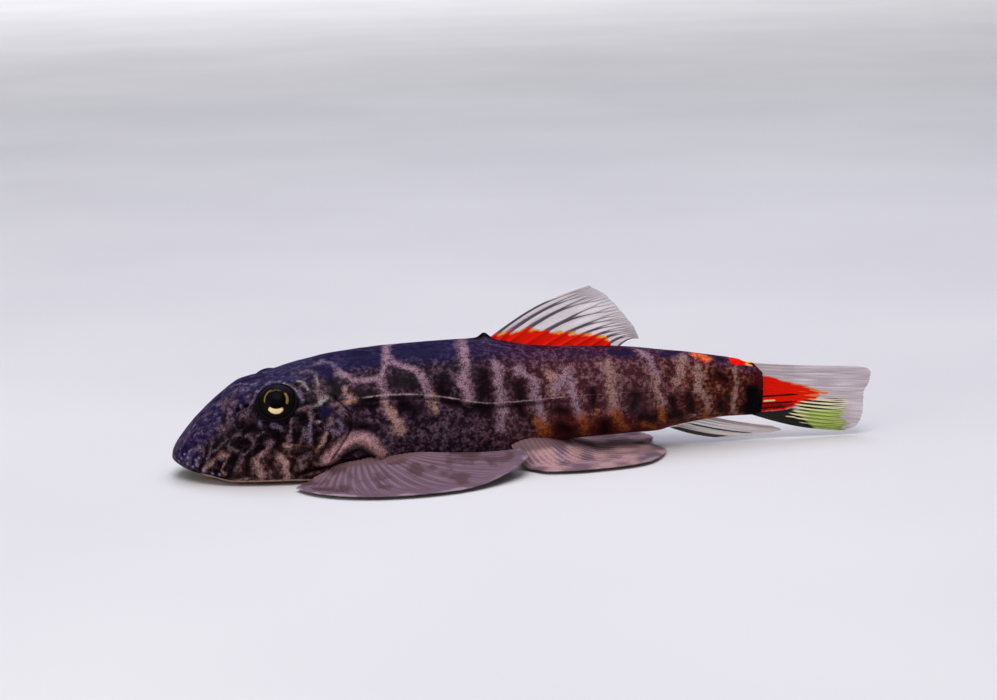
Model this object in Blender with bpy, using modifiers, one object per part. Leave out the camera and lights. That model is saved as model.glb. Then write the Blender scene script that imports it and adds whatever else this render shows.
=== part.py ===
"""Hillstream loach (Gastromyzon), a still life-size model resting on its belly and paired fins.

The animal's own frame: X runs from the snout tip at x = 0 to the end of the tail, Y is across,
Z is up from the floor. An empty at the middle of the length carries every node.
"""

import math

import bmesh
import bpy
import numpy as np
from mathutils import Vector

MM = 0.001

# Driving sizes of the whole animal
LENGTH = 63.6 * MM
GAP = 0.3 * MM
HEAD_END = 14.0 * MM
TRUNK_END = 41.5 * MM
STALK_END = 52.9 * MM

# Body lines, as (distance from the snout tip, value) in millimetres
BACK_LINE = (
    (0, 1.7), (0.9, 3.5), (2.4, 5.25), (4.5, 7.1), (6.2, 8.25), (8.4, 8.75), (11.6, 9.6),
    (16, 10.3), (24, 10.7), (27.6, 10.75), (32, 9.95), (40, 9.35), (46.5, 8.45), (52.9, 7.25),
)
BELLY_LINE = (
    (0, 1.7), (0.6, 1.2), (1.5, 0.85), (3.3, 0.42), (5, 0.1), (9.8, 0.04), (14, -0.1),
    (27, -0.1), (30, 0.35), (33, 1.0), (36.5, 1.4), (43, 1.5), (45.3, 1.95), (50, 2.4), (52.9, 2.35),
)
HALF_WIDTH_LINE = (
    (0, 0), (0.5, 2.0), (1.5, 3.3), (3.3, 4.6), (6, 5.6), (9, 6.1), (13, 6.3), (20, 6.1),
    (26, 5.4), (30, 4.6), (35, 3.6), (40, 2.95), (45, 2.2), (50, 1.5), (52.9, 0.9),
)
# Height of the widest point, as a share of the body's depth there
WIDEST_LINE = ((0, 0.5), (2, 0.24), (5, 0.12), (12, 0.12), (18, 0.2), (24, 0.3), (34, 0.42), (52.9, 0.5))
# Superellipse powers: 2 is an ellipse, more is squarer
UPPER_POWER_LINE = ((0, 2.2), (10, 2.1), (24, 2.1), (52.9, 2.0))
LOWER_POWER_LINE = ((0, 2.4), (4, 4.2), (14, 4.6), (27, 3.4), (36, 2.4), (52.9, 2.0))

SECTION_POINTS = 40
HEAD_RINGS, TRUNK_RINGS, STALK_RINGS = 20, 20, 9
CLEARANCE_RINGS = 48

# Eyes, flattened balls that look outwards and a little up
EYE_X = 8.9 * MM
EYE_Z = 6.85 * MM
EYE_RADIUS = 1.65 * MM
EYE_DEPTH = 1.1 * MM
EYE_SUNK = 0.35 * MM
EYE_UP = math.radians(30)
EYE_FORWARD = math.radians(8)

# Soft swellings of the right flank: centre, spread and height
BROW = ((EYE_X, 4.0 * MM, EYE_Z), (2.6 * MM, 2 * MM, 2.4 * MM), 0.3 * MM)
SHOULDER = ((16.6 * MM, 6.0 * MM, 3.2 * MM), (3 * MM, 3 * MM, 1.5 * MM), 0.4 * MM)
CHEEK = ((11 * MM, 5.8 * MM, 3.4 * MM), (2.6 * MM, 3 * MM, 2 * MM), 0.25 * MM)
BROW_OUT, BROW_UP = 0.85, 0.5

# Nostrils, one short rimmed pit in front of each eye
NOSTRIL_X = 5.9 * MM
NOSTRIL_Z = 6.6 * MM
NOSTRIL_RIM, NOSTRIL_HOLE = 0.75 * MM, 0.35 * MM
NOSTRIL_STANDS_OUT = 0.2 * MM
NOSTRIL_ROOT = 0.7 * MM
NOSTRIL_CUT_OUT = 0.6 * MM
NOSTRIL_SIDES = 14
NOSTRIL_TAPER = 0.8
NOSTRIL_LOOKS = (-0.45, 0.62, 0.64)

# Mouth under the snout: two lips on arcs about one centre, with the slit between them
MOUTH_CENTRE_X = 4.7 * MM
MOUTH_RADIUS = 2.35 * MM
MOUTH_HALF_ANGLE = math.radians(66)
MOUTH_POINTS = 15
LIP_OFFSET = 0.5 * MM
LIP_THICK = 0.42 * MM
LIP_HEIGHT = 0.22 * MM
SLIT_THICK = 0.26 * MM
MOUTH_CORNER_THINS_BY = 0.4
# Barbels: places from the snout tip and the middle line
BARBEL_PLACES = ((1.55, 0.8), (2.05, 2.0), (3.75, 2.75))
BARBEL_LENGTH = 1.1 * MM
BARBEL_ROOT, BARBEL_TIP = 0.32 * MM, 0.2 * MM
BARBEL_ROOT_SUNK = 0.4 * MM
BARBEL_FLOOR_CLEAR = 0.25 * MM
BARBEL_LEAN = (0.75, 0.35, -0.62)

# Fins: a ray is a ridge in both faces of its membrane
RAY_THICK = 0.78 * MM
MEMBRANE_THICK = 0.5 * MM
MARGIN_THICK = 0.32 * MM
MEMBRANE_THINS_BY = 0.3
MARGIN_FROM = 0.7
MEMBRANE_NOTCH = 0.025
ROOT_SUNK = 0.9 * MM
FLOOR_LIE = 0.3 * MM

# Upright fins, in millimetres. A tip line gives (share along the base, value) for the rays' ends,
# a bow is how far the first and the last ray arch upwards, and a wave sways the margin sideways
DORSAL_RAYS, DORSAL_ROWS = 10, 7
DORSAL_BASE_X = ((0, 27.1), (0.22, 29.0), (0.44, 31.8), (0.7, 35.0), (1, 39.2))
DORSAL_TIP_X = ((0, 37.3), (0.22, 38.8), (0.44, 40.6), (0.67, 41.45), (1, 41.8))
DORSAL_TIP_Z = ((0, 15.0), (0.22, 14.1), (0.44, 12.1), (0.67, 10.95), (1, 9.95))
DORSAL_BOW = (0.75, 0.5)
DORSAL_WAVE = 0.35
ANAL_RAYS, ANAL_ROWS = 7, 6
ANAL_BASE_X = (43.2, 46.8)
ANAL_ROOT_SUNK = 0.75
ANAL_TIP_X = ((0, 49.5), (0.25, 52.2), (0.5, 54.2), (0.75, 55.1), (1, 54.2))
ANAL_TIP_Z = ((0, 0.35), (0.25, 0.45), (0.5, 0.55), (0.75, 0.75), (1, 1.2))
ANAL_BOW = (-0.3, -0.2)
ANAL_WAVE = 0.3
CAUDAL_RAYS, CAUDAL_ROWS = 19, 7
CAUDAL_BASE_X, CAUDAL_BASE_ROUND = STALK_END / MM - 1.1, 0.5
CAUDAL_BASE_Z = (7.2, 2.55)
CAUDAL_TIP_X = (
    (0, 62.3), (0.05, 63.2), (0.12, 63.6), (0.26, 63.5), (0.42, 62.9), (0.75, 62.5), (0.92, 62.1), (1, 61.0),
)
CAUDAL_TIP_Z = (6.3, 0.38)
CAUDAL_BOW = (-0.12, -0.4)
CAUDAL_WAVE = 0.45

# Paired fins lie flat, in millimetres and degrees. A heading is measured outwards from the way to
# the tail, a bend turns the ray back along its length, and a root height is above the floor
PECTORAL_RAYS, PECTORAL_ROWS = 24, 7
PECTORAL_BASE_X = (13.4, 19.6)
PECTORAL_HEADING = ((0, 150), (0.15, 132), (0.3, 110), (0.5, 78), (0.8, 34), (1, 12))
PECTORAL_LENGTH = ((0, 4.6), (0.15, 6.0), (0.3, 7.2), (0.5, 8.6), (0.7, 10.2), (0.9, 11.4), (1, 10.2))
PECTORAL_BEND = 22
PECTORAL_ROOT_Z = (1.25, 2.0)
PECTORAL_DOWN_BY = (0.6, 0.9)
PECTORAL_REAR_LIFT, PECTORAL_REAR_FROM = 1.5, 0.62
PELVIC_RAYS, PELVIC_ROWS = 18, 6
PELVIC_BASE_X = (29.3, 33.2)
PELVIC_BASE_Y = 3.9
PELVIC_HEADING = ((0, 66), (0.3, 46), (0.6, 26), (0.85, 10), (1, 0))
PELVIC_LENGTH = ((0, 4.6), (0.3, 7.0), (0.6, 9.9), (0.85, 10.6), (1, 9.6))
PELVIC_BEND = 14
PELVIC_ROOT_OVER_BELLY = 0.35
PELVIC_DOWN_BY = 0.5

# Finishes: base colour and roughness
FINISHES = {
    "skin": ((0.055, 0.038, 0.045), 0.45),
    "paired_fin": ((0.21, 0.15, 0.17), 0.5),
    "median_fin": ((0.46, 0.4, 0.4), 0.5),
    "eye": ((0.012, 0.01, 0.01), 0.1),
}


def smooth_line(points, x, unit=MM):
    """The value at x, in metres, of a line through a few points, with no overshoot.

    It is worked out along the square root of x, so that the snout closes round.
    """
    where, value = (np.array(column, float) for column in zip(*points))
    where = np.sqrt(where)
    steps = np.diff(where)
    slopes = np.diff(value) / steps
    tangents = np.concatenate([slopes[:1], np.zeros(len(slopes) - 1), slopes[-1:]])
    for i in range(1, len(slopes)):
        before, after = slopes[i - 1], slopes[i]
        if before * after > 0:
            tangents[i] = 2 * before * after / (before + after)
    s = np.clip(math.sqrt(max(x, 0) / MM), where[0], where[-1])
    i = min(int(np.searchsorted(where, s, side="right")) - 1, len(steps) - 1)
    t = (s - where[i]) / steps[i]
    found = (
        value[i] * (1 + 2 * t) * (1 - t) ** 2
        + tangents[i] * steps[i] * t * (1 - t) ** 2
        + value[i + 1] * t * t * (3 - 2 * t)
        - tangents[i + 1] * steps[i] * t * t * (1 - t)
    )
    return float(found) * unit


def along(points, t):
    """The value at t, from 0 to 1 along a fin's base, of a line through a few (t, value) points."""
    return smooth_line([(a * a, b) for a, b in points], t * t * MM, unit=1)


def between(ends, t):
    return ends[0] + (ends[1] - ends[0]) * t


def ease(t):
    """0 to 1 with level ends."""
    t = min(max(t, 0.0), 1.0)
    return t * t * (3 - 2 * t)


def body_sizes(x):
    """Back height, belly height, half width and the height of the widest point at x."""
    back = smooth_line(BACK_LINE, x)
    belly = smooth_line(BELLY_LINE, x)
    widest = belly + (back - belly) * smooth_line(WIDEST_LINE, x, unit=1)
    return back, belly, smooth_line(HALF_WIDTH_LINE, x), widest


def body_point(x, turn):
    """A point of the body's skin: turn is 0 at the right side, a quarter turn at the back."""
    back, belly, half, widest = body_sizes(x)
    c, s = math.cos(turn), math.sin(turn)
    line = UPPER_POWER_LINE if s > 0 else LOWER_POWER_LINE
    power = 2 / smooth_line(line, x, unit=1)
    reach = back - widest if s > 0 else widest - belly
    y = half * math.copysign(abs(c) ** power, c)
    z = widest + reach * math.copysign(abs(s) ** power, s)
    point = Vector((x, y, z))
    point += swelling(point)
    point.z = max(point.z, 0)
    return point


def mound(point, side, centre, spread, height):
    """How far a soft mound on one side lifts the skin at a point."""
    centre = (centre[0], side * centre[1], centre[2])
    away = [(point[i] - centre[i]) / spread[i] for i in range(3)]
    return height * math.exp(-sum(a * a for a in away))


def swelling(point):
    """Brow over the eye, muscle over the pectoral base and cheek, all pushing outwards."""
    side = math.copysign(1, point.y) if abs(point.y) > 1e-6 else 0
    brow, shoulder, cheek = (mound(point, side, *shape) for shape in (BROW, SHOULDER, CHEEK))
    return Vector((0, side * (BROW_OUT * brow + shoulder + cheek), BROW_UP * brow))


def underside(x, y):
    """Height of the body's lower skin at a place seen from below."""
    _, belly, half, widest = body_sizes(x)
    power = smooth_line(LOWER_POWER_LINE, x, unit=1)
    share = min(abs(y) / half, 1)
    return widest - (widest - belly) * (1 - share**power) ** (1 / power)


def side_skin(x, z):
    """Half width of the body at a height above its widest point."""
    back, _, half, widest = body_sizes(x)
    power = smooth_line(UPPER_POWER_LINE, x, unit=1)
    share = min(max((z - widest) / (back - widest), 0), 1)
    return half * (1 - share**power) ** (1 / power)


def mirrored(way, side):
    """A direction given for the right side, turned to the left where side is -1."""
    return Vector((way[0], side * way[1], way[2]))


def new_object(name, mesh, carrier, collection, material=None):
    obj = bpy.data.objects.new(name, mesh)
    collection.objects.link(obj)
    obj.parent = carrier
    if material:
        mesh.materials.clear()
        mesh.materials.append(material)
    return obj


def loft(name, start, end, rings, round_start=False):
    """A closed length of the body between two distances from the snout, capped at both ends."""
    bm = bmesh.new()
    turns = [2 * math.pi * k / SECTION_POINTS for k in range(SECTION_POINTS)]
    loops = []
    for i in range(rings + 1):
        share = i / rings
        if round_start:
            if i == 0:
                continue
            share = 1 - math.cos(share * math.pi / 2)
        x = start + (end - start) * share
        loops.append([bm.verts.new(body_point(x, turn)) for turn in turns])
    for a, b in zip(loops, loops[1:]):
        for k in range(SECTION_POINTS):
            n = (k + 1) % SECTION_POINTS
            bm.faces.new((a[k], a[n], b[n], b[k]))
    if round_start:
        tip = bm.verts.new(body_point(start, 0))
        for k in range(SECTION_POINTS):
            bm.faces.new((tip, loops[0][(k + 1) % SECTION_POINTS], loops[0][k]))
    else:
        bm.faces.new(loops[0][::-1])
    bm.faces.new(loops[-1])
    bmesh.ops.recalc_face_normals(bm, faces=bm.faces[:])
    bmesh.ops.triangulate(bm, faces=[f for f in bm.faces if len(f.verts) == 4], quad_method="FIXED")
    mesh = bpy.data.meshes.new(name)
    bm.to_mesh(mesh)
    bm.free()
    mesh.shade_smooth()
    mesh.set_sharp_from_angle(angle=math.radians(50))
    return mesh


def evaluated_mesh(obj):
    graph = bpy.context.evaluated_depsgraph_get()
    return bpy.data.meshes.new_from_object(obj.evaluated_get(graph))


def keep_largest(mesh):
    """Removes every closed surface but the one with the most vertices."""
    bm = bmesh.new()
    bm.from_mesh(mesh)
    left, groups = set(bm.verts), []
    while left:
        stack, group = [left.pop()], []
        while stack:
            vert = stack.pop()
            group.append(vert)
            near = {edge.other_vert(vert) for edge in vert.link_edges} & left
            left -= near
            stack.extend(near)
        groups.append(group)
    groups.sort(key=len)
    for group in groups[:-1]:
        bmesh.ops.delete(bm, geom=group, context="VERTS")
    bm.to_mesh(mesh)
    bm.free()


def apply_modifiers(obj):
    """Replaces an object's mesh by its evaluated one, cleared of scraps."""
    mesh = evaluated_mesh(obj)
    keep_largest(mesh)
    obj.modifiers.clear()
    obj.data = mesh
    mesh.name = obj.name


def boolean(obj, operation, other):
    """Joins or cuts by one object, or by every object of a collection."""
    modifier = obj.modifiers.new(operation.lower(), "BOOLEAN")
    modifier.operation = operation
    if isinstance(other, bpy.types.Collection):
        modifier.operand_type = "COLLECTION"
        modifier.collection = other
    else:
        modifier.object = other


def as_helper(obj):
    obj.hide_render = True
    obj.display_type = "WIRE"
    return obj


def fin_thickness(v, on_ray):
    """Thickness at v along a ray: the membrane thins away from the root, and both at the margin."""
    thick = RAY_THICK
    if not on_ray:
        thick += (MEMBRANE_THICK - RAY_THICK) * ease(v / MEMBRANE_THINS_BY)
    return thick + (MARGIN_THICK - thick) * ease((v - MARGIN_FROM) / (1 - MARGIN_FROM))


def fin_mesh(name, rays, rows, centre):
    """A thin sheet with a column of points on each ray and one between each two rays.

    centre(t, v) is the sheet's middle surface: t runs along the base and v out along a ray.
    """
    columns = 2 * (rays - 1)
    bm = bmesh.new()
    bmesh.ops.create_grid(bm, x_segments=columns, y_segments=rows, size=1)
    weights = []
    for vert in bm.verts:
        column = round((vert.co.x + 1) / 2 * columns)
        row = round((vert.co.y + 1) / 2 * rows)
        t, v = column / columns, row / rows
        on_ray = column % 2 == 0
        reach = v if on_ray else v * (1 - MEMBRANE_NOTCH * v)
        vert.co = centre(t, reach)
        weights.append(fin_thickness(v, on_ray) / RAY_THICK)
    bmesh.ops.triangulate(bm, faces=bm.faces[:], quad_method="FIXED")
    mesh = bpy.data.meshes.new(name)
    bm.to_mesh(mesh)
    bm.free()
    return mesh, weights


def fin(name, rays, rows, centre, cutter, material, carrier, collection):
    """A fin node: the sheet thickened on both faces, kept off the floor and cut clear of the body."""
    mesh, weights = fin_mesh(name, rays, rows, centre)
    obj = new_object(name, mesh, carrier, collection)
    group = obj.vertex_groups.new(name="thickness")
    for index, weight in enumerate(weights):
        group.add([index], weight, "REPLACE")
    solidify = obj.modifiers.new("thicken", "SOLIDIFY")
    solidify.thickness = RAY_THICK
    solidify.offset = 0
    solidify.vertex_group = group.name
    bpy.context.view_layer.update()
    apply_modifiers(obj)
    for vert in obj.data.vertices:
        vert.co.z = max(vert.co.z, 0)
    boolean(obj, "DIFFERENCE", cutter)
    bpy.context.view_layer.update()
    apply_modifiers(obj)
    obj.data.materials.clear()
    obj.data.materials.append(material)


def upright_ray(base, tip, bow, wave, v):
    """A ray of an upright fin: from base to tip, arched upwards, with a slight side wave."""
    x = between((base[0], tip[0]), v)
    z = between((base[1], tip[1]), v) + bow * math.sin(math.pi * v)
    return Vector((x * MM, wave * v * v * MM, z * MM))


def dorsal_centre(t, v):
    base_x = along(DORSAL_BASE_X, t)
    base_z = (smooth_line(BACK_LINE, base_x * MM) - ROOT_SUNK) / MM
    tip = (along(DORSAL_TIP_X, t), along(DORSAL_TIP_Z, t))
    wave = DORSAL_WAVE * math.sin(math.pi * t)
    return upright_ray((base_x, base_z), tip, between(DORSAL_BOW, t), wave, v)


def anal_centre(t, v):
    base_x = between(ANAL_BASE_X, t)
    base_z = smooth_line(BELLY_LINE, base_x * MM) / MM + ANAL_ROOT_SUNK
    tip = (along(ANAL_TIP_X, t), along(ANAL_TIP_Z, t))
    wave = ANAL_WAVE * math.sin(math.pi * t)
    return upright_ray((base_x, base_z), tip, between(ANAL_BOW, t), wave, v)


def caudal_centre(t, v):
    base = (CAUDAL_BASE_X + CAUDAL_BASE_ROUND * math.sin(math.pi * t), between(CAUDAL_BASE_Z, t))
    tip = (along(CAUDAL_TIP_X, t), between(CAUDAL_TIP_Z, t))
    wave = CAUDAL_WAVE * math.sin(2 * math.pi * t)
    return upright_ray(base, tip, between(CAUDAL_BOW, t), wave, v)


def flat_ray(root, heading, bend, length, v):
    """A ray of a level fin seen from above: it leaves the root at a heading and sweeps back."""
    turn = heading + bend * (0.5 - v)
    return root[0] + length * v * math.cos(turn), root[1] + length * v * math.sin(turn)


def pectoral_centre(side):
    """The fan from the flank behind the head, its rear rays lifted over the pelvic fin's root."""

    def centre(t, v):
        root_x = between(PECTORAL_BASE_X, t) * MM
        root = (root_x, smooth_line(HALF_WIDTH_LINE, root_x) - ROOT_SUNK)
        heading = math.radians(along(PECTORAL_HEADING, t))
        x, y = flat_ray(root, heading, math.radians(PECTORAL_BEND), along(PECTORAL_LENGTH, t) * MM, v)
        rear = ease((t - PECTORAL_REAR_FROM) / (1 - PECTORAL_REAR_FROM))
        lie = FLOOR_LIE + PECTORAL_REAR_LIFT * MM * rear
        high = between(PECTORAL_ROOT_Z, t) * MM
        z = between((high, lie), ease(v / between(PECTORAL_DOWN_BY, t)))
        return Vector((x, side * y, z))

    return centre


def pelvic_centre(side):
    """Half of the disc behind the belly, whose inner edge runs along the middle line."""

    def centre(t, v):
        quarter = t * math.pi / 2
        root_x = between(PELVIC_BASE_X, math.sin(quarter)) * MM
        root_y = PELVIC_BASE_Y * MM * math.cos(quarter) + GAP / 2
        heading = math.radians(along(PELVIC_HEADING, t))
        bend = math.radians(PELVIC_BEND) * (1 - t)
        x, y = flat_ray((root_x, root_y), heading, bend, along(PELVIC_LENGTH, t) * MM, v)
        high = underside(root_x, root_y) + PELVIC_ROOT_OVER_BELLY * MM
        z = between((high, FLOOR_LIE), ease(v / PELVIC_DOWN_BY))
        return Vector((x, side * y, z))

    return centre


def eye_axis(side):
    return Vector((
        -math.sin(EYE_FORWARD),
        side * math.cos(EYE_FORWARD) * math.cos(EYE_UP),
        math.cos(EYE_FORWARD) * math.sin(EYE_UP),
    ))


def place_mesh(mesh, centre, axis, scale):
    """Scales a unit mesh, turns its Z along an axis and moves it."""
    turn = axis.to_track_quat("Z", "Y").to_matrix()
    for vert in mesh.vertices:
        vert.co = centre + turn @ Vector(c * s for c, s in zip(vert.co, scale))
    mesh.update()


def flat_ball(name, side, grow, carrier, collection):
    """An eyeball, or its socket when grown."""
    bm = bmesh.new()
    bmesh.ops.create_uvsphere(bm, u_segments=20, v_segments=12, radius=1)
    mesh = bpy.data.meshes.new(name)
    bm.to_mesh(mesh)
    bm.free()
    mesh.shade_smooth()
    axis = eye_axis(side)
    surface = Vector((EYE_X, side * side_skin(EYE_X, EYE_Z), EYE_Z))
    centre = surface + swelling(surface) - axis * EYE_SUNK
    place_mesh(mesh, centre, axis, (EYE_RADIUS + grow, EYE_RADIUS + grow, EYE_DEPTH + grow))
    return new_object(name, mesh, carrier, collection)


def cone(name, base, tip, root_radius, tip_radius, carrier, collection, sides=10):
    """A closed tapered rod from base to tip."""
    bm = bmesh.new()
    bmesh.ops.create_cone(
        bm, cap_ends=True, segments=sides, radius1=root_radius, radius2=tip_radius, depth=(tip - base).length
    )
    mesh = bpy.data.meshes.new(name)
    bm.to_mesh(mesh)
    bm.free()
    place_mesh(mesh, (base + tip) / 2, (tip - base).normalized(), (1, 1, 1))
    return new_object(name, mesh, carrier, collection)


def mouth_arc(name, radius, thick, height, carrier, collection):
    """A tube on an arc round the mouth's centre, lying at a height over the head's underside."""
    data = bpy.data.curves.new(name, "CURVE")
    data.dimensions = "3D"
    data.bevel_depth = thick
    data.bevel_resolution = 2
    data.use_fill_caps = True
    spline = data.splines.new("POLY")
    spline.points.add(MOUTH_POINTS - 1)
    for i, point in enumerate(spline.points):
        turn = MOUTH_HALF_ANGLE * (2 * i / (MOUTH_POINTS - 1) - 1)
        x = MOUTH_CENTRE_X - radius * math.cos(turn)
        y = radius * math.sin(turn)
        point.co = (x, y, underside(x, y) + height, 1)
        point.radius = 1 - MOUTH_CORNER_THINS_BY * abs(turn / MOUTH_HALF_ANGLE) ** 3
    tube = new_object(name + "_curve", data, carrier, collection)
    bpy.context.view_layer.update()
    mesh = evaluated_mesh(tube)
    bpy.data.objects.remove(tube)
    bm = bmesh.new()
    bm.from_mesh(mesh)
    bmesh.ops.remove_doubles(bm, verts=bm.verts[:], dist=0.001 * MM)
    bmesh.ops.recalc_face_normals(bm, faces=bm.faces[:])
    bm.to_mesh(mesh)
    bm.free()
    return new_object(name, mesh, carrier, collection)


def barbels(carrier, collection):
    """Two pairs of short barbels in front of the mouth and one pair at its corners."""
    for side in (-1, 1):
        lean = mirrored(BARBEL_LEAN, side).normalized()
        for index, (x, y) in enumerate(BARBEL_PLACES):
            root = Vector((x * MM, side * y * MM, underside(x * MM, y * MM) + BARBEL_ROOT_SUNK))
            tip = root + lean * BARBEL_LENGTH
            tip.z = max(tip.z, BARBEL_FLOOR_CLEAR)
            cone(f"barbel_{index}_{side}", root, tip, BARBEL_ROOT, BARBEL_TIP, carrier, collection)


def nostril(side, outer, reach, name, carrier, collection):
    """A short round peg through the skin in front of the eye: the rim, or the pit when thin."""
    skin = Vector((NOSTRIL_X, side * side_skin(NOSTRIL_X, NOSTRIL_Z), NOSTRIL_Z))
    outward = mirrored(NOSTRIL_LOOKS, side).normalized()
    root, tip = skin - outward * NOSTRIL_ROOT, skin + outward * reach
    return cone(name, root, tip, outer, outer * NOSTRIL_TAPER, carrier, collection, sides=NOSTRIL_SIDES)


def material(name, colour, roughness):
    made = bpy.data.materials.new(name)
    made.use_nodes = True
    shader = made.node_tree.nodes["Principled BSDF"]
    shader.inputs["Base Color"].default_value = (*colour, 1)
    shader.inputs["Roughness"].default_value = roughness
    shader.inputs["Metallic"].default_value = 0
    made.diffuse_color = (*colour, 1)
    return made


def build_head(skin, carrier, parts, cutters, joined):
    """Head with lips, barbels and nostril rims joined on, then eye sockets, slit and pits cut."""
    mesh = loft("head", 0, HEAD_END - GAP / 2, HEAD_RINGS, round_start=True)
    head = new_object("head", mesh, carrier, parts)
    mouth_arc("upper_lip", MOUTH_RADIUS + LIP_OFFSET, LIP_THICK, LIP_HEIGHT, carrier, joined)
    mouth_arc("lower_lip", MOUTH_RADIUS - LIP_OFFSET, LIP_THICK, LIP_HEIGHT, carrier, joined)
    barbels(carrier, joined)
    for side in (-1, 1):
        nostril(side, NOSTRIL_RIM, NOSTRIL_STANDS_OUT, f"rim_{side}", carrier, joined)
    bpy.context.view_layer.update()
    boolean(head, "UNION", joined)
    bpy.context.view_layer.update()
    apply_modifiers(head)
    for vert in head.data.vertices:
        vert.co.z = max(vert.co.z, 0)
    for obj in list(joined.objects):
        bpy.data.objects.remove(obj)
    for side in (-1, 1):
        boolean(head, "DIFFERENCE", as_helper(flat_ball(f"socket_{side}", side, GAP, carrier, cutters)))
        pit = nostril(side, NOSTRIL_HOLE, NOSTRIL_CUT_OUT, f"pit_{side}", carrier, cutters)
        boolean(head, "DIFFERENCE", as_helper(pit))
    slit = as_helper(mouth_arc("mouth_slit", MOUTH_RADIUS, SLIT_THICK, 0, carrier, cutters))
    boolean(head, "DIFFERENCE", slit)
    bpy.context.view_layer.update()
    apply_modifiers(head)
    head.data.materials.clear()
    head.data.materials.append(skin)


def body_clearance(carrier, cutters):
    """The whole body grown by the gap, which cuts each fin clear of it."""
    mesh = loft("body_clearance", 0, STALK_END, CLEARANCE_RINGS, round_start=True)
    whole = as_helper(new_object("body_clearance", mesh, carrier, cutters))
    grow = whole.modifiers.new("grow", "DISPLACE")
    grow.strength = GAP
    grow.mid_level = 0
    bpy.context.view_layer.update()
    return whole


def main():
    for obj in list(bpy.data.objects):
        bpy.data.objects.remove(obj)
    made = []
    for name in ("hillstream_loach", "cutters", "joined"):
        made.append(bpy.data.collections.new(name))
        bpy.context.scene.collection.children.link(made[-1])
    parts, cutters, joined = made
    carrier = bpy.data.objects.new("loach_middle", None)
    carrier.location = (-LENGTH / 2, 0, 0)
    parts.objects.link(carrier)

    skin, paired, median, eye = (material(name, *finish) for name, finish in FINISHES.items())

    build_head(skin, carrier, parts, cutters, joined)
    for name, start, end, rings in (
        ("trunk", HEAD_END + GAP / 2, TRUNK_END - GAP / 2, TRUNK_RINGS),
        ("tail_stalk", TRUNK_END + GAP / 2, STALK_END, STALK_RINGS),
    ):
        new_object(name, loft(name, start, end, rings), carrier, parts, skin)

    whole = body_clearance(carrier, cutters)
    for side, word in ((-1, "left"), (1, "right")):
        flat_ball(f"{word}_eye", side, 0, carrier, parts).data.materials.append(eye)
        for name, rays, rows, centre in (
            ("pectoral_fin", PECTORAL_RAYS, PECTORAL_ROWS, pectoral_centre(side)),
            ("pelvic_fin", PELVIC_RAYS, PELVIC_ROWS, pelvic_centre(side)),
        ):
            fin(f"{word}_{name}", rays, rows, centre, whole, paired, carrier, parts)
    for name, rays, rows, centre in (
        ("dorsal_fin", DORSAL_RAYS, DORSAL_ROWS, dorsal_centre),
        ("anal_fin", ANAL_RAYS, ANAL_ROWS, anal_centre),
        ("caudal_fin", CAUDAL_RAYS, CAUDAL_ROWS, caudal_centre),
    ):
        fin(name, rays, rows, centre, whole, median, carrier, parts)


main()
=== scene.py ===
"""Looks of the hillstream loach: moist scaled skin with its markings, wet eyes and rayed fins.

Shapes are worked out in millimetres, x from the snout, y to the fish's right, z up from the floor.
A place on the skin is also given as (distance from the snout, way down the flank from the back).
"""

import math

import bpy
import numpy as np
from mathutils import Matrix, Vector


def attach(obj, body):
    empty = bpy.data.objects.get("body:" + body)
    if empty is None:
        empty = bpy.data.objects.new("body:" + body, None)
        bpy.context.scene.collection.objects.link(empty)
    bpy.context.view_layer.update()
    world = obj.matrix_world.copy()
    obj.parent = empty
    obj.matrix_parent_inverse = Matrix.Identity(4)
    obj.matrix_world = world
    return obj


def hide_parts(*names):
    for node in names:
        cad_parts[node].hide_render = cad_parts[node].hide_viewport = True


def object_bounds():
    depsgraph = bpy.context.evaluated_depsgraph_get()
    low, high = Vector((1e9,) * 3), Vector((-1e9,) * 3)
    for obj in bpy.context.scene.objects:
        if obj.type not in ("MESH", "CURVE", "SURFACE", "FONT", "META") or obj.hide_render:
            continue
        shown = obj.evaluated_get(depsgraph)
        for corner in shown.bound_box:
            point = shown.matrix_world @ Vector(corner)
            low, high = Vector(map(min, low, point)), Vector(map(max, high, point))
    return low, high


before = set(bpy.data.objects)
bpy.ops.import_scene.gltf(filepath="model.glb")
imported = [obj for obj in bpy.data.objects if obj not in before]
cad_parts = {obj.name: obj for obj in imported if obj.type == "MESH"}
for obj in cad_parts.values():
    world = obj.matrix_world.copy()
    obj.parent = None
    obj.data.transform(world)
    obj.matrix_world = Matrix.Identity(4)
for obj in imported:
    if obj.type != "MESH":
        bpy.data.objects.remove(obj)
CAD_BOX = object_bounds()

MM = 0.001
SNOUT_X = CAD_BOX[0][0] / MM
GAP = 0.3
SIDES = (-1, "left"), (1, "right")
STALK_END, SKIN_END = 52.9, 53.3

# Body lines, as (distance from the snout tip, value)
BACK_LINE = (
    (0, 1.7), (0.9, 3.5), (2.4, 5.25), (4.5, 7.1), (6.2, 8.25), (8.4, 8.75), (11.6, 9.6),
    (16, 10.3), (24, 10.7), (27.6, 10.75), (32, 9.95), (40, 9.35), (46.5, 8.45), (52.9, 7.25),
)
BELLY_LINE = (
    (0, 1.7), (0.6, 1.2), (1.5, 0.85), (3.3, 0.42), (5, 0.1), (9.8, 0.04), (14, -0.1),
    (27, -0.1), (30, 0.35), (33, 1.0), (36.5, 1.4), (43, 1.5), (45.3, 1.95), (50, 2.4), (52.9, 2.35),
)
HALF_WIDTH_LINE = (
    (0, 0), (0.5, 2.0), (1.5, 3.3), (3.3, 4.6), (6, 5.6), (9, 6.1), (13, 6.3), (20, 6.1),
    (26, 5.4), (30, 4.6), (35, 3.6), (40, 2.95), (45, 2.2), (50, 1.5), (52.3, 1.0), (53.3, 0.12),
)
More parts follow.
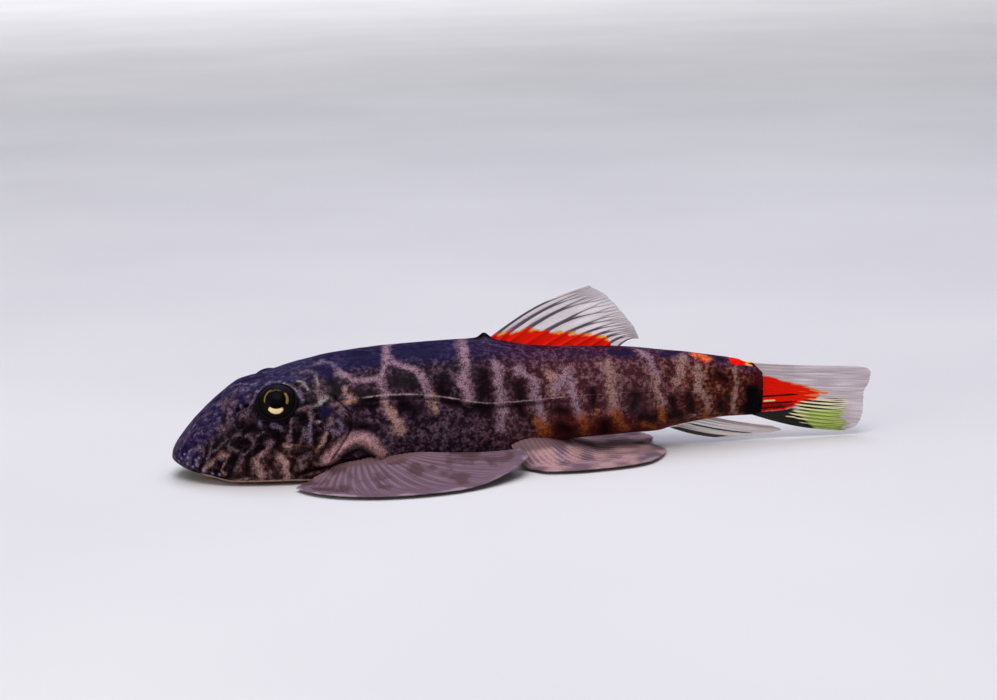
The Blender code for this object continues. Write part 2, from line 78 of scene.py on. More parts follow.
# Height of the widest point, as a share of the body's depth there
WIDEST_LINE = ((0, 0.5), (2, 0.24), (5, 0.12), (12, 0.12), (18, 0.2), (24, 0.3), (34, 0.42), (52.9, 0.5))
# Superellipse powers: 2 is an ellipse, more is squarer
UPPER_POWER_LINE = ((0, 2.2), (10, 2.1), (24, 2.1), (52.9, 2.0))
LOWER_POWER_LINE = ((0, 2.4), (4, 4.2), (14, 4.6), (27, 3.4), (36, 2.4), (52.9, 2.0))

# Eyes, flattened balls that look outwards and a little up
EYE_X, EYE_Z = 8.9, 6.85
EYE_RADIUS, EYE_DEPTH, EYE_SUNK = 1.65, 1.1, 0.35
EYE_UP, EYE_FORWARD = math.radians(30), math.radians(8)

# Soft swellings of each flank: centre, spread and height
BROW = ((EYE_X, 4.0, EYE_Z), (2.6, 2, 2.4), 0.3)
SHOULDER = ((16.6, 6.0, 3.2), (3, 3, 1.5), 0.4)
CHEEK = ((11, 5.8, 3.4), (2.6, 3, 2), 0.25)
BROW_OUT, BROW_UP = 0.85, 0.5

# Fineness of the skin and fins
HEAD_LENGTH = 16.0
HEAD_RINGS, BODY_RINGS, HALF_POINTS = 200, 270, 250
FIN_DENSITY = 1.0


def line(points, x):
    """Values at x of a line through a few points, with no overshoot, worked along the root of x."""
    where, value = np.array(points, float).T
    where = np.sqrt(where)
    x = np.clip(np.sqrt(np.maximum(np.asarray(x, float), 0)), where[0], where[-1])
    steps = np.diff(where)
    slopes = np.diff(value) / steps
    product, total = slopes[:-1] * slopes[1:], slopes[:-1] + slopes[1:]
    inner = np.where(product > 0, 2 * product / np.where(total == 0, 1, total), 0)
    tangents = np.concatenate([slopes[:1], inner, slopes[-1:]])
    i = np.clip(np.searchsorted(where, x, side="right") - 1, 0, len(steps) - 1)
    t = (x - where[i]) / steps[i]
    return (
        value[i] * (1 + 2 * t) * (1 - t) ** 2
        + tangents[i] * steps[i] * t * (1 - t) ** 2
        + value[i + 1] * t * t * (3 - 2 * t)
        - tangents[i + 1] * steps[i] * t * t * (1 - t)
    )


def along(points, t):
    """The value at t, from 0 to 1 along a fin's base, of a line through a few (t, value) points."""
    return line([(a * a, b) for a, b in points], np.asarray(t, float) ** 2)


def between(a, b, t):
    return a + (b - a) * t


def ease(t):
    """0 to 1 with level ends."""
    t = np.clip(t, 0.0, 1.0)
    return t * t * (3 - 2 * t)


def step(x, low, high):
    """0 below low and 1 above high, or the other way round where low is the larger."""
    return ease((x - low) / (high - low))


def bell(x, centre, spread):
    return np.exp(-(((x - centre) / spread) ** 2))


def unit(v):
    return v / np.maximum(np.linalg.norm(v, axis=-1, keepdims=True), 1e-12)


def noise(p, size, seed=0):
    """Smooth noise from -1 to 1 at points, with lumps of a given size."""
    q = np.asarray(p, float) / size
    cell = np.floor(q).astype(np.int64)
    f = ease(q - cell)
    found = 0
    for corner in np.ndindex(2, 2, 2):
        n = (cell + corner) @ np.array([73856093, 19349663, 83492791]) + seed * 2654435761
        n = (n ^ (n >> 13)) * 1274126177 & 0xFFFFFFFF
        n = (n ^ (n >> 16)) & 0xFFFF
        found = found + (n / 32767.5 - 1) * np.prod(np.where(corner, f, 1 - f), axis=-1)
    return found


def mound(p, side, centre, spread, height):
    """How far a soft mound on the side of each point lifts the skin."""
    centre = np.stack([centre[0] + 0 * side, centre[1] * side, centre[2] + 0 * side], -1)
    return height * np.exp(-(((p - centre) / spread) ** 2).sum(-1))


def swell(p, side):
    """Moves points out by the brow, the muscle over the pectoral base and the cheek."""
    brow, shoulder, cheek = (mound(p, side, *shape) for shape in (BROW, SHOULDER, CHEEK))
    p = p.copy()
    p[..., 1] += side * (BROW_OUT * brow + shoulder + cheek)
    p[..., 2] += BROW_UP * brow
    return p


def body_sizes(x):
    """Back height, belly height, half width and the height of the widest point at x."""
    back, belly = line(BACK_LINE, x), line(BELLY_LINE, x)
    return back, belly, line(HALF_WIDTH_LINE, x), between(belly, back, line(WIDEST_LINE, x))


def body(x, turn):
    """Points of the body: turn is 0 at the right side and a quarter turn at the back."""
    x, turn = np.broadcast_arrays(np.asarray(x, float), np.asarray(turn, float))
    back, belly, half, widest = body_sizes(x)
    c, s = np.cos(turn), np.sin(turn)
    power = 2 / np.where(s > 0, line(UPPER_POWER_LINE, x), line(LOWER_POWER_LINE, x))
    reach = np.where(s > 0, back - widest, widest - belly)
    y = half * np.sign(c) * np.abs(c) ** power
    p = np.stack([x, y, widest + reach * np.sign(s) * np.abs(s) ** power], -1)
    return swell(p, np.where(np.abs(y) > 1e-3, np.sign(y), 0.0))


def underside(x, y):
    """Height of the body's lower skin at places seen from below."""
    _, belly, half, widest = body_sizes(x)
    power = line(LOWER_POWER_LINE, x)
    share = np.clip(np.abs(y) / np.maximum(half, 1e-6), 0, 1)
    return widest - (widest - belly) * (1 - share**power) ** (1 / power)


def side_skin(x, z, side):
    """The point of a flank at a height above its widest point."""
    back, _, half, widest = body_sizes(x)
    power = line(UPPER_POWER_LINE, x)
    share = np.clip((z - widest) / (back - widest), 0, 1)
    p = np.array([x, side * half * (1 - share**power) ** (1 / power), z], float)
    return swell(p, np.array(float(side)))


def eye_axes(side):
    """Centre of an eye, the way it looks, and the ways to the tail and up in its plane."""
    looks = np.array([
        -math.sin(EYE_FORWARD),
        side * math.cos(EYE_FORWARD) * math.cos(EYE_UP),
        math.cos(EYE_FORWARD) * math.sin(EYE_UP),
    ])
    rear = unit(np.array([1.0, 0, 0]) - looks * looks[0])
    up = np.cross(looks, rear)
    up *= np.sign(up[2])
    return side_skin(EYE_X, EYE_Z, side) - looks * EYE_SUNK, looks, rear, up


def ride(piece, slot, *nodes):
    """Fixes a piece to the one body, in place of its nodes."""
    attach(piece, "root")
    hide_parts(*nodes)


def new_piece(name, points, faces, masks, material):
    """A shaded mesh from points in millimetres from the snout, with masks for its material."""
    places = (np.asarray(points) + (SNOUT_X, 0, 0)) * MM
    mesh = bpy.data.meshes.new(name)
    mesh.from_pydata(places.tolist(), [], faces)
    for mask, values in masks.items():
        layer = mesh.attributes.new(mask, "FLOAT", "POINT")
        layer.data.foreach_set("value", np.asarray(values, np.float32).ravel())
    mesh.shade_smooth()
    mesh.materials.append(material)
    piece = bpy.data.objects.new(name, mesh)
    bpy.context.scene.collection.objects.link(piece)
    return piece


def grid_faces(rows, columns, closed=False, start=0, flip=False):
    """Four-sided faces of a grid of points that runs row by row."""
    row, column = np.mgrid[0 : rows - 1, 0 : columns if closed else columns - 1]
    a = row * columns + column
    b = row * columns + (column + 1) % columns
    faces = np.stack([a, b, b + columns, a + columns], -1).reshape(-1, 4) + start
    return (faces[:, ::-1] if flip else faces).tolist()


def fan(tip, start, count, flip=False):
    """Three-sided faces from a tip to a closed ring of points."""
    around = [(start + k, start + (k + 1) % count) for k in range(count)]
    return [(tip, b, a) if flip else (tip, a, b) for a, b in around]


class Finish:
    """A material whose colour is worked out by nodes, with one method for each kind of node."""

    def __init__(self, name):
        self.material = bpy.data.materials.new(name)
        self.material.use_nodes = True
        self.tree = self.material.node_tree
        self.shader = self.tree.nodes["Principled BSDF"]

    def put(self, value, socket):
        """Links an output to a socket, or sets the socket's own value."""
        if isinstance(value, bpy.types.NodeSocket):
            self.tree.links.new(value, socket)
        elif socket.type == "RGBA":
            socket.default_value = (*value, 1)
        else:
            socket.default_value = value

    def node(self, kind, inputs=None, **settings):
        made = self.tree.nodes.new(kind)
        for key, value in settings.items():
            setattr(made, key, value)
        for key, value in (inputs or {}).items():
            self.put(value, made.inputs[key])
        return made

    def mask(self, name):
        return self.node("ShaderNodeAttribute", attribute_name=name).outputs["Fac"]

    def place(self, stretch=(1, 1, 1)):
        """Object coordinates in millimetres, stretched."""
        where = self.node("ShaderNodeTexCoord").outputs["Object"]
        scale = tuple(1 / MM / s for s in stretch)
        return self.node("ShaderNodeMapping", {"Vector": where, "Scale": scale}).outputs["Vector"]

    def grain(self, size, detail=2.0):
        """Noise about 0, from -0.5 to 0.5, with lumps of a size in millimetres."""
        inputs = {"Vector": self.place(), "Scale": 1 / size, "Detail": detail}
        return self.maths("SUBTRACT", self.node("ShaderNodeTexNoise", inputs).outputs["Fac"], 0.5)

    def cells(self, size, feature="F1", stretch=(1, 1, 1), warp=0.0):
        """Distance to the nearest cell's middle, or to the cells' edges."""
        where = self.place(stretch)
        if warp:
            shift = self.node("ShaderNodeTexNoise", {"Vector": where, "Scale": 0.8 / size}).outputs["Color"]
            scaled = self.node("ShaderNodeVectorMath", {0: shift, 1: (warp,) * 3}, operation="MULTIPLY")
            moved = self.node("ShaderNodeVectorMath", {0: where, 1: scaled.outputs[0]}, operation="ADD")
            where = moved.outputs[0]
        inputs = {"Vector": where, "Scale": 1 / size}
        return self.node("ShaderNodeTexVoronoi", inputs, feature=feature).outputs["Distance"]

    def maths(self, operation, a, b=0.0):
        return self.node("ShaderNodeMath", {0: a, 1: b}, operation=operation).outputs[0]

    def plus(self, a, b):
        return self.maths("ADD", a, b)

    def times(self, a, b):
        return self.maths("MULTIPLY", a, b)

    def spread(self, value, low, high, to_low=0.0, to_high=1.0):
        """Maps low..high to a new range with eased ends."""
        inputs = {"Value": value, "From Min": low, "From Max": high, "To Min": to_low, "To Max": to_high}
        return self.node("ShaderNodeMapRange", inputs, interpolation_type="SMOOTHSTEP").outputs["Result"]

    def mix(self, factor, a, b, blend="MIX"):
        made = self.node("ShaderNodeMix", data_type="RGBA", blend_type=blend)
        first, second = (s for s in made.inputs if s.type == "RGBA")
        self.put(factor, made.inputs[0])
        self.put(a, first)
        self.put(b, second)
        return next(s for s in made.outputs if s.type == "RGBA")

    def broken(self, name, grain, amount, low=0.35, high=0.65):
        """A mask broken up by a grain, and still nothing where it is nothing."""
        rough = self.plus(1.0, self.times(grain, amount))
        return self.spread(self.times(self.mask(name), rough), low, high)

    def bumps(self, height, distance, under=None):
        inputs = {"Height": height, "Distance": distance * MM, "Strength": 1.0}
        if under is not None:
            inputs["Normal"] = under
        return self.node("ShaderNodeBump", inputs).outputs["Normal"]

    def set(self, values):
        for key, value in values.items():
            self.put(value, self.shader.inputs[key])


# Markings of each colour as strokes: half width, then places (distance, way down the flank)
MARKS = {
    "navy": (
        (0.96, (16, 1.8), (17.3, 2.3)), (0.7, (20.4, 1.6), (22.7, 2.2)), (0.35, (43.7, 1), (45.4, 0.7)),
        (0.53, (39.1, 1.1), (40.7, 1.3)), (0.26, (49, 0.5), (49.3, 0.7)), (0.33, (12.8, 6.9), (13.3, 7)),
        (0.38, (13.1, 2.6), (13.6, 3.5), (13.9, 4.2)), (0.26, (6.3, 0.8), (8, 1.1)),
        (0.23, (5.4, 2.6), (5.9, 3.4), (5.8, 4.1), (5.4, 4.3)), (0.23, (3.5, 1.5), (3.7, 2.1)),
        (0.15, (2.5, 2.2), (3.1, 2.7)), (0.16, (1.7, 3), (1.9, 3.6)), (0.23, (0.9, 2.2), (1.3, 3.1)),
        (0.16, (0.7, 2.6), (0.9, 3.1)), (0.17, (1.9, 4.5), (1.6, 4.4)), (0.17, (3.4, 2.7), (3.2, 2.9)),
        (0.19, (2.3, 3.3), (2.8, 3.9)), (0.14, (4.5, 0), (4.1, 0.9)),
    ),
    "dark": (
        (0.7, (19.4, 5.2), (20.3, 5.5)), (0.79, (19.6, 7.4), (20.5, 7.8)), (0.66, (15.9, 5.9), (16.9, 6.4)),
        (0.35, (15.7, 6.8), (17.3, 7.1)), (0.61, (23.2, 5.2), (23.3, 6.5)),
        (0.61, (26.9, 4.7), (26.9, 6.5)), (0.61, (30.1, 5.6), (30.2, 6.4)), (0.57, (33.5, 7), (34.3, 7.2)),
        (0.7, (33.9, 8.6), (34.6, 9)), (0.32, (30.9, 8.3), (31.2, 9)), (0.61, (37.9, 8.2), (38.1, 9.2)),
        (0.39, (36.7, 5.1), (36.8, 6.4)), (0.61, (40.9, 5.2), (40.6, 6.4)), (0.53, (45.9, 4.7), (46, 5.8)),
        (0.3, (49.4, 4.1), (49.7, 4.2)), (0.53, (48.8, 4.7), (49.1, 5.5)), (0.53, (48.8, 2.2), (49.4, 2.6)),
        (0.44, (44.3, 5.2), (44.6, 6.3)), (0.48, (23.7, 7.4), (26.9, 8.1)), (0.48, (29.9, 7.5), (30.3, 8)),
        (0.53, (41.3, 7.2), (45.1, 6.6)), (0.45, (16, 8.7), (17, 9.2)), (0.43, (13.7, 4.3), (14, 5.5)),
        (0.24, (14.6, 11), (15.4, 10.9)), (0.21, (4.3, 3.7), (4.5, 4.3)), (0.3, (2.8, 4.8), (2.9, 5.7)),
        (0.3, (3.8, 5.5), (4, 5.8)), (0.23, (3.7, 6.1), (4.1, 6.4)), (0.37, (5.2, 6.8), (6.1, 7.4)),
        (0.4, (7.3, 7.6), (7.4, 8.6)), (0.31, (6.2, 6.3), (7, 6.7)), (0.37, (6.3, 8.8), (6, 9.9)),
        (0.3, (4.8, 7.9), (4.9, 7.8)), (0.28, (4.7, 8.9), (4.5, 8.9)), (0.3, (3.6, 7.9), (3.7, 8.1)),
        (0.48, (8.6, 7.9), (8.7, 8.8)), (0.19, (11.2, 7), (10.9, 7.6)), (0.33, (10.4, 8.3), (10.2, 8.8)),
        (0.24, (9.9, 9.8), (10.7, 10.1), (11.4, 9.9)), (0.24, (12, 8.8), (11.8, 9.7)),
        (0.16, (13.2, 9.3), (12.7, 10), (12.2, 10.6)), (0.24, (10, 10.5), (9.8, 11.3)),
        (0.21, (11.5, 11.1), (11.5, 11.3)), (0.11, (10.7, 3.7), (10.8, 4)), (0.12, (12, 3.1), (12.1, 3.4)),
        (0.26, (7.9, 9.8), (8, 10.1)), (0.21, (9.5, 7.3), (9.9, 7.1)), (0.23, (8.1, 7.3), (7.9, 6.7)),
        (0.42, (14.7, 8.3), (15.6, 8.6)), (0.3, (15.5, 10.7), (16.1, 10.8)),
    ),
    "pale": (
        (0.26, (14.4, 3.2), (14.6, 3.6), (15.2, 4.2), (16, 4.6), (16.9, 4.7), (18.1, 4.4)),
        (0.4, (19, 0), (18.8, 1.9), (18.7, 3)),
        (0.32, (18.7, 3), (18.3, 3.9), (18, 4.6), (17.8, 5.3), (18, 6), (18.1, 6.5)),
        (0.28, (19, 2.6), (19.4, 3.3), (20, 3.7), (20.7, 4.1), (21.2, 4.6),
         (21.6, 5.5), (21.8, 6.2), (21.9, 6.8)),
        (0.42, (25.6, 0.4), (25.5, 2.5), (25.5, 3.7), (25.3, 4.7), (25.2, 5.6), (25.3, 6.5), (25.3, 7.1)),
        (0.42, (28.1, 3.9), (28.2, 4.9), (28.3, 5.8), (28.4, 6.6),
         (28.5, 7.5), (28.5, 8.2), (28.3, 8.9), (28.2, 9.6)),
        (0.37, (30.2, 4.2), (30.9, 4.4), (31.4, 4.9), (31.5, 5.6),
         (31.5, 6.3), (31.8, 7.1), (32, 7.8), (32.3, 8.2)), (0.32, (34.5, 3.7), (33.9, 4.5), (33.4, 5.2)),
        (0.39, (34.6, 4), (34.9, 4.7), (35.1, 6.1), (35.7, 7.5)),
        (0.35, (41.8, 0.8), (42.3, 1.5), (42.6, 2.3), (42.7, 3)),
    ),
    "tan": (
        (0.46, (38.4, 2.6), (38.5, 3.7), (38.6, 4.5), (38.7, 5.4), (38.8, 6.5)),
        (0.34, (42.7, 3), (42.9, 3.7), (42.7, 4.4), (43.1, 5.1), (43.3, 5.8)),
        (0.37, (45.7, 1), (45.2, 2), (45, 2.9), (44.6, 3.6)), (0.39, (47, 1.9), (46.8, 3.1), (46.9, 3.9)),
        (0.32, (47.1, 4), (47.5, 4.9), (47.7, 5.9)),
        (0.22, (50.3, 1.6), (50.5, 2.6), (50.3, 3.5), (50.1, 4.5), (50.2, 5.5)),
        (0.3, (14.8, 5.2), (14.8, 5.8), (15.3, 6.3)), (0.37, (18.1, 6.5), (18.3, 7.3), (18.6, 7.9)),
        (0.4, (22, 6.8), (22.3, 7.4), (22.5, 8)), (0.44, (32.9, 4), (33.5, 4.5), (33.2, 5.4)),
        (0.21, (14.1, 6.5), (14.7, 6.6), (15.2, 6.5)), (0.12, (4.2, 7.6), (4, 7.9), (4.2, 8.6)),
        (0.15, (12.9, 8.8), (12.7, 9.2), (12.5, 9.6), (12.1, 9.9)),
    ),
    "amber": (
        (0.57, (31.9, 8.5), (32.3, 9.4)), (0.4, (35.8, 7.5), (36.1, 8.4), (36.3, 9.5)),
        (0.49, (39, 7.1), (39.4, 7.9), (39.9, 8.9)), (0.32, (43.2, 6.2), (43.4, 7.3)),
        (0.3, (47.6, 5.8), (47.6, 6.6)), (0.32, (41.8, 8), (42.6, 8.5)), (0.23, (37.1, 7.3), (37.4, 6.9)),
    ),
    "pinkish": (
        (0.39, (18.6, 7.9), (18.9, 8.7)), (0.57, (19, 9), (19.1, 9.3)), (0.23, (3.8, 6.6), (4.3, 7.2)),
        (0.26, (7.4, 9), (6.8, 9.2), (6.9, 9.8), (7.1, 10.4), (7.3, 11.1)),
        (0.29, (8.8, 9.9), (9.3, 10.4), (9.3, 11), (9.4, 11.9)), (0.17, (9.3, 9), (9.8, 9.2)),
        (0.14, (6.1, 10.5), (4.8, 9.7)), (0.21, (3.1, 6.7), (2.6, 6.4)),
    ),
    "vein": (
        (0.22, (4.1, 1.7), (4.6, 3), (4.9, 3.9), (4.7, 4.1), (5, 4.8), (4.7, 5), (4.2, 4.7), (3.8, 3.9)),
        (0.38, (4.6, 1.8), (5.3, 3.3)), (0.26, (6, 4.8), (6.3, 5.3)),
        (0.15, (5.6, 6.4), (5, 6.1), (4.7, 6.3), (4.6, 6.6), (5, 7.2), (5.4, 7.8)),
        (0.15, (6, 6.8), (6.4, 7.1), (6.7, 7.6), (6.6, 8), (6.3, 8.1), (5.9, 8.2), (5.5, 8.2)),
        (0.23, (5.5, 8.2), (5.5, 8.8), (5.1, 8.9)), (0.14, (7.5, 7.2), (7, 7.3), (6.7, 7.6)),
        (0.16, (4.5, 6), (4.1, 5.9), (3.6, 5.9), (3.2, 5.5)), (0.18, (3.2, 4.7), (3.1, 5.4), (2.8, 6)),
        (0.19, (8, 9.1), (7.6, 9.1), (7.3, 9.2)),
        (0.23, (12.3, 3.1), (12.4, 3.9), (12.5, 4.6), (12.7, 5.5)),
        (0.19, (12.3, 6.2), (11.8, 6.4), (11.6, 6.8), (11.7, 7.4), (12.1, 7.6)),
        (0.23, (13.4, 7.5), (13.6, 7.7), (13.3, 8.1), (12.9, 8.3)),
        (0.22, (13.5, 6.4), (13.9, 6.5), (14.3, 6.6), (14.3, 7.6)),
        (0.16, (10.3, 6.4), (10.8, 6.3), (11.3, 6.3), (11.7, 6.3)),
        (0.19, (10.2, 7), (10, 7.6), (9.8, 8.1), (9.7, 8.6)),
        (0.18, (7.8, 8.1), (8.3, 8.5), (7.9, 8.7), (7.9, 9.1)),
        (0.22, (11.4, 10.3), (10.9, 10.5), (10.6, 10.8), (10.8, 11.4)),
        (0.18, (11.4, 2.4), (11.9, 2.4), (12.3, 3)), (0.19, (11.1, 8.2), (10.9, 8.9)),
        (0.16, (1.9, 3.7), (2.4, 4.6), (2.5, 5.2)),
    ),
    "lilac": (
        (0.13, (7.4, 3.2), (7.1, 3.9), (6.8, 4.3), (6.5, 4.5)), (0.17, (6.5, 3.4), (6.3, 3.9), (6, 4.2)),
        (0.23, (5.6, 1.7), (6.7, 2.8)), (0.17, (3.9, 1.3), (4, 1.9)), (0.12, (2.8, 2), (3, 2.7)),
        (0.11, (3.5, 2.7), (3.9, 2.4)), (0.21, (2.2, 0.9), (1.6, 1.1), (1.2, 1.5)),
        (0.14, (2.4, 2.7), (2.6, 3.3)), (0.13, (2.4, 3.8), (2.8, 4.5)), (0.19, (7.3, 6.3), (7.5, 6.8)),
        (0.11, (7.4, 4.2), (7.7, 3.3), (8.2, 2.6), (8.8, 2.6), (9.4, 2.9)), (0.2, (10.7, 4.8), (11, 5.4)),
        (0.2, (11.6, 7.6), (11.5, 8.1), (11.4, 8.6), (11.4, 9.1)),
        (0.15, (13.9, 7.8), (14.2, 8.3), (14.2, 8.8), (13.8, 8.9), (13.3, 8.7)),
        (0.21, (8.5, 6.9), (9.1, 7.6)), (0.24, (12.7, 1.5), (13.5, 1.7), (14.2, 2.6), (14.5, 3.3)),
        (0.19, (13.5, 1.2), (12.7, 1.2)), (0.13, (1.4, 3.4), (1.1, 3.5)),
        (0.11, (5.2, 0.3), (5.9, 0.9), (6.9, 2), (7.5, 2.1)),
    ),
    "white": (
        (0.16, (13.1, 5.7), (12.7, 5.9), (12.3, 6.2)),
        (0.13, (9.7, 3.3), (10.1, 3.9), (10.4, 4.4), (10.6, 5)),
        (0.1, (10.8, 3.4), (11.2, 3.7), (11.4, 4.2), (11.6, 4.6)), (0.1, (12.3, 7.5), (12.4, 7.6)),
        (0.1, (12.4, 3.4), (12.5, 4.1)), (0.13, (46.4, 6.6), (46.6, 6.6)),
    ),
    "maroon": ((0.55, (52.6, 1.4), (52.7, 2.6)),),
    "black": ((0.95, (52.2, 3.6), (52.2, 5.2)), (0.42, (53, 3), (53, 5.2)), (0.46, (27.3, 0), (28.3, 0))),
    "orange": ((0.53, (47.1, 0.7), (47.6, 0.8)),),
    "red": ((0.42, (50.4, 0.45), (51.2, 0.45)), (0.3, (51, 0), (51.6, 0.2))),
    "tip": ((0.2, (51.7, 0.5), (52.3, 0.1)),),
}
# Markings that are fainter on the snout, and how strong they are there
FAINT_ON_SNOUT, SNOUT_SHARE = ("tan", "pinkish", "vein", "lilac"), 0.68
# Folds: the fleshy arc over the pectoral base, the gill cover's edge and the crease over the fin
LOBE_LINE = ((12.9, 11.2), (14.0, 10.4), (15.2, 9.9), (16.2, 10.1), (16.9, 10.7), (17.5, 11.5))
GILL_LINE = ((13.9, 5.9), (15.0, 7.4), (14.9, 9.0), (13.3, 11.0))
CREASE_LINE = ((10.4, 11.95), (12.1, 11.8), (14.0, 11.75), (15.6, 11.65), (16.9, 11.6))
# The lateral line's way down the flank
LATERAL_LINE = (
    (0, 6.2), (17.6, 6.3), (20.5, 6.5), (23.8, 7.0), (27.2, 7.5), (29.1, 7.2), (31.0, 6.6), (34.7, 5.8),
    (39.3, 5.2), (44.3, 4.4), (52.9, 3.4),
)
# Knob before the dorsal fin, nostrils as (place on the flank, depth, spread), and the flap between them
KNOB_X, KNOB_HEIGHT = 27.75, 0.5
NOSTRILS, NOSTRIL_FLAP = (((5.55, 6.35), 0.34, 0.24), ((6.3, 6.75), 0.4, 0.3)), (5.95, 6.55)
# Mouth on the underside: its centre, the radii of its slit and lips, and where it fades at its corners
MOUTH_X, MOUTH_SLIT, FRONT_LIP, REAR_LIP = 4.7, 2.37, 2.85, 1.9
MOUTH_CORNERS = math.radians(74), math.radians(58)
# Rows of tubercles: turn up from the side, how many, and the first one's and last one's distance
BEAD_ROWS = ((-0.04, 7, 0.5, 4.2), (0.14, 5, 0.6, 2.9), (0.34, 2, 0.9, 1.7))
# The skin's rear edge is bent forwards at its top and foot, and more at its top
EDGE_BEND, EDGE_TOP_BEND, EDGE_BENT_FROM = 0.12, 0.9, 50.5


def curve_through(points, count=14):
    """Points along a smooth curve through a few places."""
    p = np.array(points, float)
    p = np.vstack([2 * p[0] - p[1], p, 2 * p[-1] - p[-2]])
    t = np.linspace(0, 1, count)[:, None]
    parts = []
    for a, b, c, d in zip(p, p[1:], p[2:], p[3:]):
        bend, twist = 2 * a - 5 * b + 4 * c - d, 3 * b - a - 3 * c + d
        parts.append(0.5 * (2 * b + (c - a) * t + bend * t**2 + twist * t**3))
    return np.vstack(parts)


def off_line(x, way, points):
    """Distance of places on the skin from a curve, signed: above 0 on its lower or rear side."""
    curve = curve_through(points)
    low, high = curve.min(0) - 2.5, curve.max(0) + 2.5
    near = (x > low[0]) & (x < high[0]) & (way > low[1]) & (way < high[1])
    place = np.stack([x[near], way[near]], -1)
    best = np.full(len(place), 99.0)
    sign = np.ones(len(place))
    for a, b in zip(curve, curve[1:]):
        d = b - a
        t = np.clip(((place - a) @ d) / max(d @ d, 1e-12), 0, 1)
        away = place - a - t[:, None] * d
        far = np.hypot(*away.T)
        closer = far < best
        best = np.where(closer, far, best)
        sign = np.where(closer, np.sign(d[0] * away[:, 1] - d[1] * away[:, 0]), sign)
    found = np.full(x.shape, 99.0)
    found[near] = best * np.where(sign == 0, 1, sign)
    return found


def stroke(x, way, points, half):
    """A mask that is 1 on a curve, a half at its edges and 0 at twice its half width."""
    return np.clip(1 - 0.5 * np.abs(off_line(x, way, points)) / half, 0, 1)


def ring_places():
    """Distances of the skin's rings from the snout, closest at its tip."""
    turns = np.linspace(0, math.pi / 2, HEAD_RINGS + 1)[1:]
    rest = np.linspace(HEAD_LENGTH, SKIN_END, BODY_RINGS + 1)[1:]
    return np.concatenate([HEAD_LENGTH * (1 - np.cos(turns)), rest])


def flank(xs):
    """Even points down the left flank from back to belly at each distance, with the way to each."""
    dense = body(xs[:, None], np.linspace(math.pi / 2, 1.5 * math.pi, 1100)[None, :])
    steps = np.linalg.norm(np.diff(dense, axis=1), axis=-1)
    ways = np.concatenate([np.zeros((len(xs), 1)), np.cumsum(steps, axis=1)], axis=1)
    wanted = ways[:, -1:] * np.linspace(0, 1, HALF_POINTS + 1)
    points = np.empty((*wanted.shape, 3))
    for i, want in enumerate(wanted):
        for k in range(3):
            points[i, :, k] = np.interp(want, ways[i], dense[i, :, k])
    points[:, [0, -1], 1] = 0
    high = (points[..., 2] - sum(CAUDAL_BASE_Z) / 2) / (CAUDAL_BASE_Z[0] - CAUDAL_BASE_Z[1]) * 2
    bent = EDGE_BEND * high**2 + EDGE_TOP_BEND * np.clip((high - 0.6) / 0.4, 0, 1.2)
    points[..., 0] -= bent * step(points[..., 0], EDGE_BENT_FROM, SKIN_END)
    return points, wanted


def bead_places(side):
    """Small tubercles in rows along the lower rim of the snout and cheek."""
    draw = np.random.default_rng(7 + side)
    places = []
    for row, (turn, count, first, last) in enumerate(BEAD_ROWS):
        for k in range(count):
            x = first + (last - first) * (k + 0.5 * (row % 2)) / count + draw.uniform(-0.15, 0.15)
            place = body(x, math.pi * (side < 0) + side * (turn + draw.uniform(-0.06, 0.06)))
            places.append((place, draw.uniform(0.13, 0.27), draw.uniform(0.45, 1.0)))
    return places


